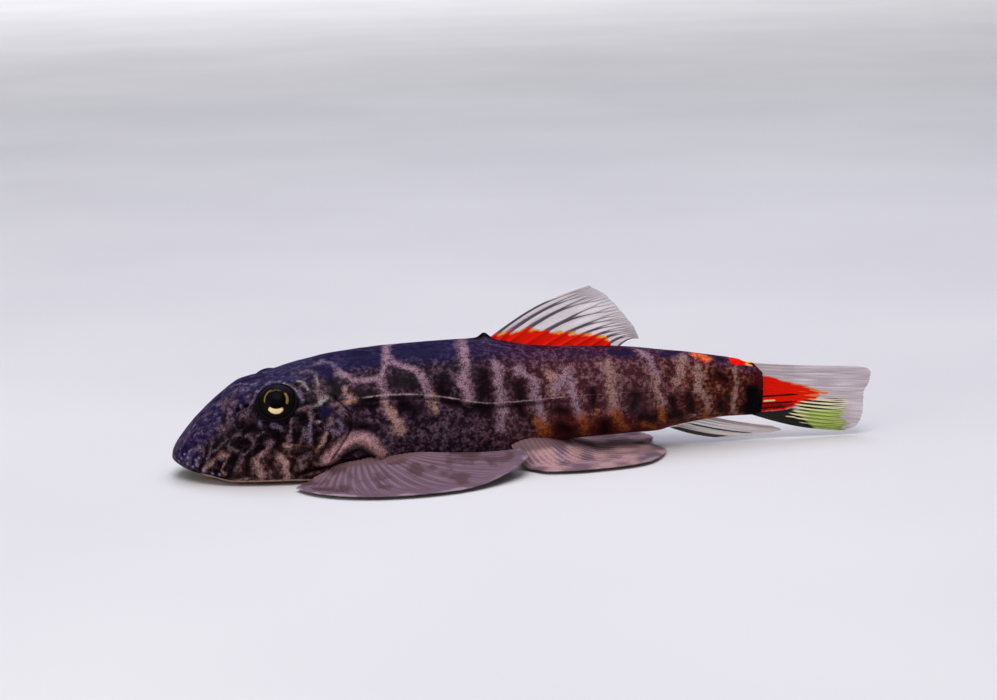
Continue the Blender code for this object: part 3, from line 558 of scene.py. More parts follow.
def skin_relief(x, way, p, normal, side):
    """How far the skin's small forms stand out, and masks of those that have a colour of their own."""
    relief = 0.03 * noise(p, 1.7, 3) + 0.012 * noise(p, 0.6, 4)
    masks = {}
    relief += KNOB_HEIGHT * bell(x, KNOB_X, 0.5) * bell(way, 0, 0.6)

    # Rims and lids of the eyes
    lid = np.zeros(x.shape)
    for one in (-1, 1):
        centre, looks, *_ = eye_axes(one)
        away = p - centre
        flat = away - (away @ looks)[..., None] * looks
        r = np.linalg.norm(flat, axis=-1)
        near = (side == one) & (away @ looks > -2.2)
        rim = 0.26 * bell(r, EYE_RADIUS, 0.2) - 0.4 * step(r, EYE_RADIUS - 0.12, EYE_RADIUS - 0.4)
        relief += np.where(near, rim, 0)
        relief += np.where(near, 0.05 * bell(r, EYE_RADIUS + 0.75, 0.16), 0)
        lid = np.maximum(lid, np.where(near, step(r, EYE_RADIUS + 0.45, EYE_RADIUS - 0.05), 0))
    masks["lid"] = lid

    # Nostrils, with near-black painted shade laid in their hollows
    pits = np.zeros(x.shape)
    for one in (-1, 1):
        for place, depth, spread in NOSTRILS:
            away = np.linalg.norm(p - side_skin(*place, one), axis=-1)
            relief -= depth * bell(away, 0, spread)
            relief += 0.1 * bell(away, 1.7 * spread, 0.12)
            pits = np.maximum(pits, bell(away, 0, spread * 1.15))
        flap = p - side_skin(*NOSTRIL_FLAP, one)
        tall = np.linalg.norm(flap * (2.6, 0.9, 0.9), axis=-1)
        relief += 0.3 * bell(tall, 0, 0.34)
    masks["pit"] = pits

    # Gill cover, fleshy arc and crease; near-black painted shade is laid in the gill cover's groove and the
    # crease
    gill = off_line(x, way, GILL_LINE)
    relief += 0.12 * bell(gill, 0.32, 0.3) - 0.2 * bell(gill, 0, 0.13)
    lobe = off_line(x, way, LOBE_LINE)
    relief += 0.34 * bell(lobe, 0, 0.45) - 0.1 * bell(lobe, 0.9, 0.4)
    crease = off_line(x, way, CREASE_LINE)
    relief -= 0.26 * bell(crease, 0, 0.2)
    masks["groove_shade"] = np.maximum(bell(gill, 0, 0.16) * 0.8, bell(crease, 0, 0.24))
    masks["lobe"] = np.clip(1 - 0.5 * np.abs(lobe + 0.1) / 0.48, 0, 1)

    # Lateral line
    lateral = np.abs(way - line(LATERAL_LINE, x))
    shown = step(x, 15, 17) * step(x, 52, 49)
    relief += 0.03 * bell(lateral, 0, 0.12) * shown
    fading = shown * between(1, 0.45, step(x, 30, 42))
    masks["lateral"] = bell(lateral, 0, 0.085) * fading * (0.75 + 0.35 * noise(p, 0.8, 9))
    masks["under"] = bell(way - line(LATERAL_LINE, x), 0.32, 0.2) * fading * step(x, 36, 30)

    # Mouth, with dark painted shade laid in the groove of its slit
    below = step(-normal[..., 2], 0.2, 0.6)
    rho = np.hypot(x - MOUTH_X, p[..., 1])
    turn = np.abs(np.arctan2(p[..., 1], MOUTH_X - x))
    held = below * step(turn, *MOUTH_CORNERS) * (x < 6)
    lips = 0.26 * bell(rho, FRONT_LIP, 0.26) + 0.2 * bell(rho, REAR_LIP, 0.24)
    relief += held * (lips - 0.34 * bell(rho, MOUTH_SLIT, 0.14))
    masks["slit"] = held * bell(rho, MOUTH_SLIT, 0.16)

    # Tubercles
    beads = np.zeros(x.shape)
    front = x < 9
    for one in (-1, 1):
        for place, size, clear in bead_places(one):
            away = np.linalg.norm(p[front] - place, axis=-1)
            beads[front] = np.maximum(beads[front], clear * bell(away, 0, size))
    relief += 0.12 * beads
    masks["bead"] = beads
    return relief, masks


def skin_markings(x, way, p, normal, side):
    """Masks of the markings over the whole skin, shifted more on the right side than on the left."""
    right = (side > 0) * 1.0
    warp = between(1, 1.6, right)
    x = x + warp * (0.12 * noise(p, 1.1, 21) + 0.1 * noise(p, 0.5, 24)) + right * 0.5 * noise(p, 5.0, 22)
    way = way + warp * (0.12 * noise(p, 1.1, 23) + 0.1 * noise(p, 0.5, 25))
    uneven = 1 + 0.4 * noise(p, 0.8, 26)
    masks = {}
    for name, strokes in MARKS.items():
        masks[name] = np.maximum.reduce([stroke(x, way, points, half * uneven) for half, *points in strokes])
        if name in FAINT_ON_SNOUT:
            masks[name] *= between(SNOUT_SHARE, 1, step(x, 5, 9))
    back, below = step(x, 24, 46), -normal[..., 2]
    for name, *limits in (
        ("down", (way, between(2.6, 0.7, back), between(4.4, 2.2, back))),
        ("net", (x, 14.5, 12.5), (way, 0.6, 2.6)),
        ("rear", (x, 24, 35)),
        ("stalk", (x, 41, 48)),
        ("snout", (x, 7.5, 4.5), (way, 5.4, 3.8)),
        ("crown", (x, 13.5, 11.8), (way, 3.8, 2.6), (x, 4.5, 7.5)),
        ("cheek", (x, 14.5, 11.5), (way, 4.2, 6.0)),
        ("jaw", (x, 15, 12.5), (way, 8.4, 9.8), (x, 3, 5)),
        ("warm", (x, 30, 33.5), (way, 6.2, 8.4), (x, 50, 46)),
        ("scaled", (x, 13.5, 17), (below, 0.8, 0.3)),
        ("belly", (below, between(0.2, 0.85, step(x, 12, 34)), 1), (x, 1, 3)),
        ("rim", (p[..., 2], 0.8, 0.35), (x, 3.5, 5), (x, 13, 10)),
    ):
        masks[name] = math.prod(step(*limit) for limit in limits)
    masks["belly"] = np.maximum(masks["belly"], 0.72 * masks.pop("rim"))
    return masks


# Colour of each region's ground and of the mottling over it
REGION_COLOURS = {
    "front_top": ((0.008, 0.004, 0.032), (0.034, 0.022, 0.068)),
    "front": ((0.013, 0.005, 0.011), (0.092, 0.05, 0.074)),
    "rear_top": ((0.036, 0.008, 0.029), (0.112, 0.05, 0.082)),
    "rear": ((0.056, 0.014, 0.018), (0.17, 0.08, 0.096)),
    "stalk": ((0.052, 0.008, 0.005), (0.225, 0.082, 0.058)),
    "crown": ((0.017, 0.013, 0.045), (0.056, 0.045, 0.102)),
    "snout": ((0.014, 0.008, 0.036), (0.086, 0.057, 0.108)),
    "cheek": ((0.001, 0, 0.001), (0.026, 0.011, 0.016)),
    "jaw": ((0.021, 0.006, 0.006), (0.13, 0.064, 0.058)),
}
# Dark meshes of the net over the head, and its pale lines on the cheek and the snout
NET_DARK, NET_PALE = (0.002, 0.001, 0.005), ((0.085, 0.05, 0.058), (0.07, 0.052, 0.105))
# Layers over them: mask, the grain that frays it and how much, the mask's limits, colour, strength
SKIN_LAYERS = (
    ("warm", "coarse", 1.6, 0.2, 0.9, (0.08, 0.01, 0.003), 0.7),
    ("navy", "mid", 1.4, 0.15, 0.9, (0.006, 0.003, 0.03), 0.85),
    ("dark", "ragged", 1.4, 0.1, 1.0, (0.002, 0, 0.001), 0.9),
    ("tan", "ragged", 1.8, 0.05, 1.05, (0.28, 0.155, 0.14), 0.9),
    ("pale", "ragged", 1.8, 0.05, 1.05, (0.25, 0.148, 0.19), 0.95),
    ("amber", "ragged", 1.8, 0.05, 1.05, (0.3, 0.08, 0.02), 0.8),
    ("lobe", "ragged", 1.0, 0.05, 1.0, (0.36, 0.195, 0.205), 0.9),
    ("pinkish", "ragged", 1.7, 0.05, 1.05, (0.3, 0.17, 0.16), 0.9),
    ("vein", "ragged", 2.2, 0.05, 1.2, (0.145, 0.088, 0.102), 0.8),
    ("lilac", "ragged", 2.2, 0.05, 1.1, (0.135, 0.098, 0.17), 0.75),
    ("white", "ragged", 1.8, 0.05, 1.05, (0.28, 0.25, 0.245), 0.75),
    ("under", "mid", 1.6, 0.2, 0.9, (0.002, 0, 0.001), 0.7),
    ("lateral", "ragged", 1.2, 0.15, 0.95, (0.3, 0.22, 0.235), 0.75),
    ("maroon", "ragged", 1.0, 0.1, 0.9, (0.06, 0.003, 0.004), 0.9),
    ("black", "ragged", 0.8, 0.1, 0.65, (0.001, 0, 0.001), 1.0),
    ("orange", "ragged", 1.8, 0.05, 0.9, (0.8, 0.13, 0.03), 0.9),
    ("red", "mid", 0.4, 0.25, 0.55, (0.85, 0.006, 0.001), 1.0),
    ("tip", "fine", 0.4, 0.3, 0.65, (0.95, 0.42, 0.06), 0.9),
    ("bead", "fine", 0.6, 0.1, 1.0, (0.25, 0.21, 0.38), 0.8),
    ("lid", "ragged", 0.8, 0.1, 0.85, (0.003, 0.002, 0.004), 1.0),
    # painted shade: near-black colour in the nostrils' hollows
    ("pit", "fine", 0.2, 0.3, 0.8, (0.003, 0.002, 0.004), 1.0),
    # painted shade: near-black colour in the gill cover's groove and the crease over the fin
    ("groove_shade", "fine", 0.3, 0.3, 0.9, (0.01, 0.001, 0.002), 0.9),
    ("belly", "mid", 0.6, 0.3, 0.8, (0.42, 0.26, 0.22), 0.9),
    # painted shade: dark colour in the groove of the mouth's slit
    ("slit", "fine", 0.3, 0.2, 0.6, (0.05, 0.015, 0.015), 0.95),
)


def regions(f, layer):
    """One colour for each region of the skin, run together by soft masks: 0 its ground, 1 its mottling."""
    colours = {name: pair[layer] for name, pair in REGION_COLOURS.items()}
    top = f.mix(f.mask("rear"), colours["front_top"], colours["rear_top"])
    side = f.mix(f.mask("stalk"), f.mix(f.mask("rear"), colours["front"], colours["rear"]), colours["stalk"])
    found = f.mix(f.mask("down"), top, side)
    for name in ("crown", "snout", "cheek", "jaw"):
        found = f.mix(f.mask(name), found, colours[name])
    return found


def skin_finish():
    """Dark moist skin: grainy mottling, pale bars and net, bright patches and small scales."""
    f = Finish("loach_skin")
    fine, mid, coarse = f.grain(0.12), f.grain(0.3, 3.0), f.grain(1.3, 3.0)
    blotch = f.grain(0.5)
    ragged = f.times(f.plus(f.plus(fine, mid), blotch), 0.75)
    ground, mottle = regions(f, 0), regions(f, 1)
    grains = {"fine": fine, "mid": mid, "coarse": coarse, "ragged": ragged}
    speckle = f.plus(f.plus(mid, blotch), f.times(coarse, 0.6))
    colour = f.mix(f.spread(speckle, -0.15, 0.34), ground, mottle)
    edges = f.plus(f.cells(0.85, "DISTANCE_TO_EDGE", warp=1.3), f.times(coarse, 0.4))
    edges = f.plus(edges, f.times(mid, 0.3))
    dark = f.times(f.spread(edges, 0.06, 0.35), f.mask("net"))
    colour = f.mix(f.times(dark, 0.6), colour, NET_DARK)
    lines = f.times(f.spread(edges, 0.08, -0.1), f.mask("net"))
    colour = f.mix(f.times(lines, 0.4), colour, f.mix(f.mask("snout"), *NET_PALE))
    for name, grain, amount, low, high, layer, strength in SKIN_LAYERS:
        shown = f.times(f.broken(name, grains[grain], amount, low, high), strength)
        colour = f.mix(shown, colour, layer)

    lightness = f.plus(f.spread(fine, -0.2, 0.2, 0.62, 1.4), f.times(mid, 0.8))
    lightness = f.plus(lightness, f.times(blotch, 0.5))
    warmer = f.plus(1.0, f.times(f.grain(0.4, 1.0), 0.5))
    cooler = f.plus(1.0, f.times(f.grain(0.33, 1.0), -0.5))
    tints = {0: f.times(lightness, warmer), 1: lightness, 2: f.times(lightness, cooler)}
    colour = f.mix(1.0, colour, f.node("ShaderNodeCombineColor", tints).outputs[0], "MULTIPLY")

    scales = f.cells(0.42, "F1", stretch=(1.25, 1, 1))
    height = f.times(f.spread(scales, 0.75, 0.1), f.mask("scaled"))
    normal = f.bumps(height, 0.035)
    normal = f.bumps(f.grain(0.22, 3.0), 0.03, normal)
    f.set({
        "Base Color": colour,
        "Roughness": f.spread(mid, -0.3, 0.3, 0.4, 0.6),
        "Specular IOR Level": 0.02,
        "Coat Weight": 0.02,
        "Coat Roughness": 0.2,
        "Normal": normal,
    })
    return f.material


def make_skin():
    """One skin over head, trunk and tail stalk, closed round the root of the tail fin."""
    xs = ring_places()
    left, ways = flank(xs)
    p = np.concatenate([left, left[:, -2:0:-1] * (1, -1, 1)], axis=1)
    way = np.concatenate([ways, ways[:, -2:0:-1]], axis=1)
    side = np.sign(p[..., 1])
    x = p[..., 0]
    across = np.roll(p, -1, axis=1) - np.roll(p, 1, axis=1)
    normal = unit(np.cross(across, np.gradient(p, axis=0)))
    normal *= np.sign((normal[..., 2] * (p[..., 2] - 4)).sum())
    relief, masks = skin_relief(x, way, p, normal, side)
    masks.update(skin_markings(x, way, p, normal, side))
    relief *= step(x, SKIN_END, SKIN_END - 0.8)
    p = p + relief[..., None] * normal
    p[..., 2] = np.maximum(p[..., 2], 0)

    rings, columns = way.shape
    tip = np.array([[0.0, 0, line(BACK_LINE, 0.0)]])
    end = p[-1].mean(0, keepdims=True)
    points = np.vstack([p.reshape(-1, 3), tip, end])
    faces = grid_faces(rings, columns, closed=True)
    count, last = rings * columns, (rings - 1) * columns
    faces += fan(count, 0, columns, flip=True) + fan(count + 1, last, columns)
    for name, values in masks.items():
        flat = values.ravel()
        masks[name] = np.append(flat, (flat[:columns].mean(), flat[last:].mean()))
    skin = new_piece("skin", points, faces, masks, skin_finish())
    ride(skin, "skin", "head", "trunk", "tail_stalk")
    return skin


# Barbels: places from the snout tip and the middle line, and the way that the left ones lean, mirrored
BARBEL_PLACES = ((1.55, 0.8), (2.05, 2.0), (3.75, 2.75))
BARBEL_LEAN, BARBEL_SUNK, BARBEL_SAG = (0.75, 0.35, -0.5), 0.25, 0.12
BARBEL_LENGTH, BARBEL_THICK, BARBEL_TAPER, BARBEL_ROUND_FROM = 1.0, 0.24, 0.45, 0.72
BARBEL_RINGS, BARBEL_SIDES = 14, 16


def barbel(root, way, material, name):
    """A short fleshy feeler that tapers to a round tip."""
    rings, sides = BARBEL_RINGS, BARBEL_SIDES
    way = unit(np.array(way, float))
    across = unit(np.cross(way, (0, 0, 1.0)))
    over = np.cross(across, way)
    points = []
    for i in range(rings):
        t = i / (rings - 1)
        tip = max((t - BARBEL_ROUND_FROM) / (1 - BARBEL_ROUND_FROM), 0)
        radius = BARBEL_THICK * (1 - BARBEL_TAPER * t) * math.sqrt(max(1 - tip**2, 0.0004))
        sag = (0, 0, -BARBEL_SAG * BARBEL_LENGTH * math.sin(math.pi * t))
        centre = np.array(root) + way * BARBEL_LENGTH * t + sag
        for k in range(sides):
            turn = 2 * math.pi * k / sides
            points.append(centre + radius * (math.cos(turn) * across + math.sin(turn) * over))
    points = np.array(points)
    points[:, 2] = np.maximum(points[:, 2], 0.02)
    faces = grid_faces(rings, sides, closed=True)
    faces.append(tuple(range(sides))[::-1])
    faces.append(tuple(range((rings - 1) * sides, rings * sides)))
    piece = new_piece(name, points, faces, {"belly": np.full(len(points), 0.8)}, material)
    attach(piece, "root")


def make_barbels(skin):
    """Two pairs of feelers in front of the mouth and one pair at its corners."""
    for side, word in SIDES:
        for index, (x, y) in enumerate(BARBEL_PLACES):
            root = (x, side * y, float(underside(x, y)) + BARBEL_SUNK)
            back, out, down = BARBEL_LEAN
            barbel(root, (back, side * out, down), skin.data.materials[0], f"{word}_barbel_{index}")


# Eye markings, as shares of its radius, and the height of its dome and of the ring
PUPIL, RING_MIDDLE, DOME, RING_HEIGHT = 0.46, 0.57, 0.06, 0.02
# Share of half a round that the ball's rings cover, and the places of its points
EYE_WRAP, EYE_RINGS, EYE_SIDES = 0.72, 110, 140
CRESCENT_MIDDLE = -98
EYE_COLOURS = (
    ("hood", (0.014, 0.011, 0.03), 0.9),
    ("ring", (0.27, 0.18, 0.05), 0.85),
    ("crescent", (0.9, 0.7, 0.38), 1.0),
)


def eye_finish():
    """Black wet eye with a broken gold ring and a bright crescent under the pupil."""
    f = Finish("loach_eye")
    fine = f.grain(0.16)
    colour = f.mix(f.mask("iris"), (0.002, 0.0015, 0.002), (0.006, 0.004, 0.004))
    for name, layer, strength in EYE_COLOURS:
        colour = f.mix(f.times(f.broken(name, fine, 1.6, 0.15, 0.85), strength), colour, layer)
    f.set({
        "Base Color": colour,
        "Roughness": 0.4,
        "Specular IOR Level": 0.02,
        "Coat Weight": 0.012,
        "Coat Roughness": 0.05,
    })
    return f.material


def make_eye(side, word, material):
    """A flattened ball with a clear dome's bulge, in rings round the way it looks."""
    centre, looks, rear, up = eye_axes(side)
    rings, sides = EYE_RINGS, EYE_SIDES
    share = np.linspace(0, 1, rings + 1)[1:]
    tilt = share * math.pi * EYE_WRAP
    r = EYE_RADIUS * np.sin(tilt)
    high = EYE_DEPTH * np.cos(tilt)
    radius = np.where(tilt <= math.pi / 2, r / EYE_RADIUS, 1.2)
    high = high + DOME * bell(radius, 0, 0.55) + RING_HEIGHT * bell(radius, RING_MIDDLE, 0.08)
    turn = np.linspace(0, 2 * math.pi, sides, endpoint=False)
    flat = np.cos(turn)[None, :, None] * rear + np.sin(turn)[None, :, None] * up
    p = centre + r[:, None, None] * flat + high[:, None, None] * looks
    tip_point = centre + (EYE_DEPTH + DOME) * looks
    radius = np.broadcast_to(radius[:, None], p.shape[:2])
    angle = np.broadcast_to(turn[None, :], p.shape[:2])

    def arc(middle, width):
        """1 within so many degrees of a direction, which is 0 to the tail and 90 up."""
        middle, width = math.radians(middle), math.radians(width)
        away = np.abs((angle - middle + math.pi) % (2 * math.pi) - math.pi)
        return step(away, width, width * 0.6)

    front = arc(148, 48) * bell(radius, RING_MIDDLE + 0.05, 0.035)
    over = arc(92, 40) * bell(radius, RING_MIDDLE - 0.03, 0.025) * 0.6
    rear_arc = arc(6, 40) * bell(radius, RING_MIDDLE, 0.07)
    iris = step(radius, PUPIL, PUPIL + 0.06)
    lean = between(0.55, 1, np.cos(angle - math.radians(CRESCENT_MIDDLE)))
    crescent = iris * step(radius, 0.77 * lean, 0.66 * lean) * arc(CRESCENT_MIDDLE, 48)
    ring = np.maximum.reduce([front, over, rear_arc])
    hood = step(radius, 0.78, 0.92) * arc(90, 75)
    masks = {"ring": ring, "crescent": crescent, "iris": iris, "hood": hood}
    points = np.vstack([p.reshape(-1, 3), tip_point])
    flip = side < 0
    faces = grid_faces(rings, sides, closed=True, flip=flip)
    faces += fan(rings * sides, 0, sides, flip=not flip)
    back = tuple(range((rings - 1) * sides, rings * sides))
    faces.append(back[::-1] if flip else back)
    masks = {name: np.append(values.ravel(), 0.0) for name, values in masks.items()}
    eye = new_piece(f"{word}_eyeball", points, faces, masks, material)
    ride(eye, "eye", f"{word}_eye")


# Upright fins. A tip line gives (share along the base, value) for the rays' ends
ROOT_SUNK, FLOOR_LIE = 0.9, 0.3
DORSAL_BASE_X = ((0, 27.1), (0.22, 29.0), (0.44, 31.8), (0.7, 35.0), (1, 39.2))
DORSAL_TIP_X = ((0, 37.3), (0.22, 38.8), (0.44, 40.6), (0.67, 41.45), (1, 41.8))
DORSAL_TIP_Z = ((0, 15.0), (0.22, 14.1), (0.44, 12.1), (0.67, 10.95), (1, 9.95))
DORSAL_BOW, DORSAL_WAVE = (0.75, 0.5), 0.35
ANAL_BASE_X, ANAL_ROOT_SUNK = (43.2, 46.8), 0.75
ANAL_TIP_X = ((0, 49.5), (0.25, 52.2), (0.5, 54.2), (0.75, 55.1), (1, 54.2))
ANAL_TIP_Z = ((0, 0.35), (0.25, 0.45), (0.5, 0.55), (0.75, 0.75), (1, 1.2))
ANAL_BOW, ANAL_WAVE = (-0.3, -0.2), 0.3
CAUDAL_BASE_X, CAUDAL_BASE_ROUND, CAUDAL_BASE_Z = STALK_END - 1.1, 0.5, (7.2, 2.55)
CAUDAL_TIP_X = (
    (0, 62.3), (0.05, 63.2), (0.12, 63.6), (0.26, 63.5), (0.42, 62.9), (0.75, 62.5), (0.92, 62.1), (1, 61.0),
)
CAUDAL_TIP_Z, CAUDAL_BOW, CAUDAL_WAVE = (6.3, 0.38), (-0.12, -0.4), 0.45

# Paired fins lie flat. A heading is in degrees outwards from the way to the tail
PECTORAL_BASE_X = 13.4, 19.6
PECTORAL_HEADING = ((0, 150), (0.15, 132), (0.3, 110), (0.5, 78), (0.8, 34), (1, 12))
PECTORAL_LENGTH = ((0, 4.6), (0.15, 6.0), (0.3, 7.2), (0.5, 8.6), (0.7, 10.2), (0.9, 11.4), (1, 10.2))
PECTORAL_BEND, PECTORAL_ROOT_Z, PECTORAL_DOWN_BY = 22, (1.25, 2.0), (0.6, 0.9)
PECTORAL_REAR_LIFT, PECTORAL_REAR_FROM = 1.5, 0.62
PELVIC_BASE_X, PELVIC_BASE_Y = (29.3, 33.2), 3.9
PELVIC_HEADING = ((0, 66), (0.3, 46), (0.6, 26), (0.85, 10), (1, 0))
PELVIC_LENGTH = ((0, 4.6), (0.3, 7.0), (0.6, 9.9), (0.85, 10.6), (1, 9.6))
PELVIC_BEND, PELVIC_ROOT_OVER_BELLY, PELVIC_DOWN_BY = 14, 0.35, 0.5


def upright_ray(base_x, base_z, tip_x, tip_z, bow, wave, v):
    x, z = between(base_x, tip_x, v), between(base_z, tip_z, v) + bow * np.sin(math.pi * v)
    return np.stack([x, wave * v * v, z], -1)


def dorsal_centre(t, v):
    base_x = along(DORSAL_BASE_X, t)
    tip = along(DORSAL_TIP_X, t), along(DORSAL_TIP_Z, t)
    wave = DORSAL_WAVE * np.sin(math.pi * t)
    base_z = line(BACK_LINE, base_x) - ROOT_SUNK
    return upright_ray(base_x, base_z, *tip, between(*DORSAL_BOW, t), wave, v)


def anal_centre(t, v):
    base_x = between(*ANAL_BASE_X, t)
    tip = along(ANAL_TIP_X, t), along(ANAL_TIP_Z, t)
    wave = ANAL_WAVE * np.sin(math.pi * t)
    base_z = line(BELLY_LINE, base_x) + ANAL_ROOT_SUNK
    return upright_ray(base_x, base_z, *tip, between(*ANAL_BOW, t), wave, v)


def caudal_centre(t, v):
    base_x = CAUDAL_BASE_X + CAUDAL_BASE_ROUND * np.sin(math.pi * t)
    tip = along(CAUDAL_TIP_X, t), between(*CAUDAL_TIP_Z, t)
    wave = CAUDAL_WAVE * np.sin(2 * math.pi * t)
    return upright_ray(base_x, between(*CAUDAL_BASE_Z, t), *tip, between(*CAUDAL_BOW, t), wave, v)


def flat_ray(root_x, root_y, heading, bend, length, v):
    """A ray of a level fin seen from above: it leaves the root at a heading and sweeps back."""
    turn = heading + bend * (0.5 - v)
    return root_x + length * v * np.cos(turn), root_y + length * v * np.sin(turn)


def pectoral_centre(side):
    """The fan from the flank behind the head, its rear rays lifted over the pelvic fin's root."""

    def centre(t, v):
        root_x = between(*PECTORAL_BASE_X, t)
        heading = np.radians(along(PECTORAL_HEADING, t))
        root_y = line(HALF_WIDTH_LINE, root_x) - ROOT_SUNK
        x, y = flat_ray(root_x, root_y, heading, math.radians(PECTORAL_BEND), along(PECTORAL_LENGTH, t), v)
        lie = FLOOR_LIE + PECTORAL_REAR_LIFT * ease((t - PECTORAL_REAR_FROM) / (1 - PECTORAL_REAR_FROM))
        z = between(between(*PECTORAL_ROOT_Z, t), lie, ease(v / between(*PECTORAL_DOWN_BY, t)))
        return np.stack([x, side * y, z], -1)

    return centre


def pelvic_centre(side):
    """Half of the disc behind the belly, whose inner edge runs along the middle line."""

    def centre(t, v):
        quarter = t * math.pi / 2
        root_x = between(*PELVIC_BASE_X, np.sin(quarter))
        root_y = PELVIC_BASE_Y * np.cos(quarter) + GAP / 2
        heading = np.radians(along(PELVIC_HEADING, t))
        bend = math.radians(PELVIC_BEND) * (1 - t)
        x, y = flat_ray(root_x, root_y, heading, bend, along(PELVIC_LENGTH, t), v)
        high = underside(root_x, root_y) + PELVIC_ROOT_OVER_BELLY
        z = between(high, FLOOR_LIE, ease(v / PELVIC_DOWN_BY))
        return np.stack([x, side * y, z], -1)

    return centre


# Shares of a ray's length where it forks, and forks again, a little later on some rays
FORK_FROM = 0.42, 0.68


class FinShape:
    """Points of a fin's two faces, with round branching rays standing out of a thin membrane."""

    def __init__(self, centre, rays, columns, rows, ray, tip_ray, ridge, root, seed, membrane=0.06):
        """ray and tip_ray are a ray's half widths, ridge its height by them, the rest half thicknesses."""
        columns, rows = max(int(columns * FIN_DENSITY), 6), max(int(rows * FIN_DENSITY), 20)
        over_base = np.linspace(0, 1, (rays - 1) * columns + 1)
        t, v = np.meshgrid(over_base, np.linspace(0, 1, rows + 1), indexing="ij")
        place = t * (rays - 1)
        nearest = np.round(place).astype(int)
        away = np.abs(place - nearest)
        draw = np.random.default_rng(seed)
        first, second = (share + 0.1 * draw.random(rays)[nearest] for share in FORK_FROM)
        fork, twig = (ease((v - begins) / (1 - begins) * 1.4) for begins in (first, second))
        off = np.abs(np.abs(away - 0.25 * fork) - 0.125 * twig)
        frayed = 1 - 0.005 * draw.random(rays)[nearest] - 0.006 * (2 * away) ** 2
        self.t, self.v = t, v
        self.middle = centre(t, v * between(1, frayed, v))
        over_t = np.gradient(self.middle, axis=0)
        over_v = np.gradient(self.middle, axis=1)
        self.normal = unit(np.cross(over_t, over_v))
        spacing = np.linalg.norm(over_t, axis=-1) * columns
        thick = between(ray, tip_ray, v) * between(1, 0.8, fork)
        self.ray = bell(off * spacing, 0, thick)
        half = membrane * between(1.3, 0.7, v) + thick * ridge * self.ray
        self.ray *= between(1, 0.55, v)
        self.half = half + root * bell(v, 0, 0.16)
        self.streak = 0.5 + 0.7 * noise(np.stack([place * 3.1, 5 * v, 0 * v], -1), 1.0, seed + 60)
        self.half *= between(1, 0.45, step(v, 0.94, 1))

    def faces_and_points(self):
        """Both faces, joined round the margin, with the lower one first."""
        rows, columns = self.t.shape
        shift = self.half[..., None] * self.normal
        points = np.vstack([(self.middle + shift).reshape(-1, 3), (self.middle - shift).reshape(-1, 3)])
        count = rows * columns
        faces = grid_faces(rows, columns) + grid_faces(rows, columns, start=count, flip=True)
        index = np.arange(count).reshape(rows, columns)
        border = np.concatenate([index[0, :-1], index[:-1, -1], index[-1, :0:-1], index[:0:-1, 0]])
        after = np.roll(border, -1)
        faces += np.stack([after, border, border + count, after + count], -1).tolist()
        return points, faces


# Each fin's rays, columns to a ray, rows, then half width of a ray at root and tip, its height by them,
# half thickness more at the root, seed, and half thickness of the membrane where it isn't the usual one
FIN_SIZES = {
    "dorsal": (10, 20, 110, 0.27, 0.09, 0.33, 0.25, 2),
    "caudal": (19, 15, 120, 0.12, 0.05, 0.35, 0.1, 3),
    "anal": (7, 26, 90, 0.13, 0.06, 0.45, 0.2, 4),
    "pectoral": (24, 15, 95, 0.2, 0.09, 0.35, 0.45, 5, 0.08),
    "pelvic": (18, 15, 90, 0.2, 0.09, 0.35, 0.45, 6, 0.08),
}
# Colour of the membrane and of its rays, the membrane's opacity, and its least and most lightness
FIN_COLOURS = {
    "dorsal": ((0.9, 0.78, 0.8), (0.135, 0.1, 0.115), 0.36, (0.78, 1.1)),
    "caudal": ((0.8, 0.68, 0.73), (0.52, 0.42, 0.46), 0.5, (0.6, 1.18)),
    "anal": ((0.9, 0.82, 0.82), (0.55, 0.45, 0.44), 0.42, (0.78, 1.1)),
    "paired": ((0.165, 0.1, 0.14), (0.23, 0.145, 0.18), 0.86, (0.78, 1.1)),
}
# Coloured areas over them, one after the other: mask, colour, strength and opacity
FIN_LAYERS = {
    "dorsal": (
        ("dark", (0.085, 0.056, 0.09), 0.85, 1.0),
        ("fringe", (0.95, 0.36, 0.03), 0.95, 0.95),
        ("red", (0.8, 0.01, 0.002), 1.0, 1.0),
        ("black", (0.005, 0.004, 0.01), 1.0, 1.0),
    ),
    "caudal": (
        ("grey", (0.3, 0.27, 0.27), 0.5, 0.7),
        ("fringe", (0.8, 0.17, 0.01), 0.9, 0.97),
        ("green", (0.21, 0.29, 0.045), 0.95, 0.95),
        ("lime", (0.58, 0.68, 0.18), 0.9, 1.0),
        ("red", (0.8, 0.008, 0.001), 1.0, 1.0),
        ("black", (0.003, 0.003, 0.002), 0.97, 1.0),
        ("maroon", (0.06, 0.003, 0.004), 1.0, 1.0),
        ("yellow", (0.86, 0.79, 0.44), 0.95, 1.0),
    ),
    "anal": (
        ("pinkish", (0.42, 0.26, 0.24), 0.7, 0.6),
        ("white", (0.78, 0.72, 0.62), 0.95, 0.95),
        ("black", (0.012, 0.008, 0.008), 0.95, 1.0),
    ),
    "paired": (
        ("rosy", (0.6, 0.35, 0.35), 0.85, 0.6),
        ("brown", (0.08, 0.038, 0.04), 0.8, 0.9),
        ("flesh", (0.16, 0.09, 0.1), 0.85, 1.0),
        ("margin", (0.46, 0.36, 0.4), 0.55, 0.4),
    ),
}


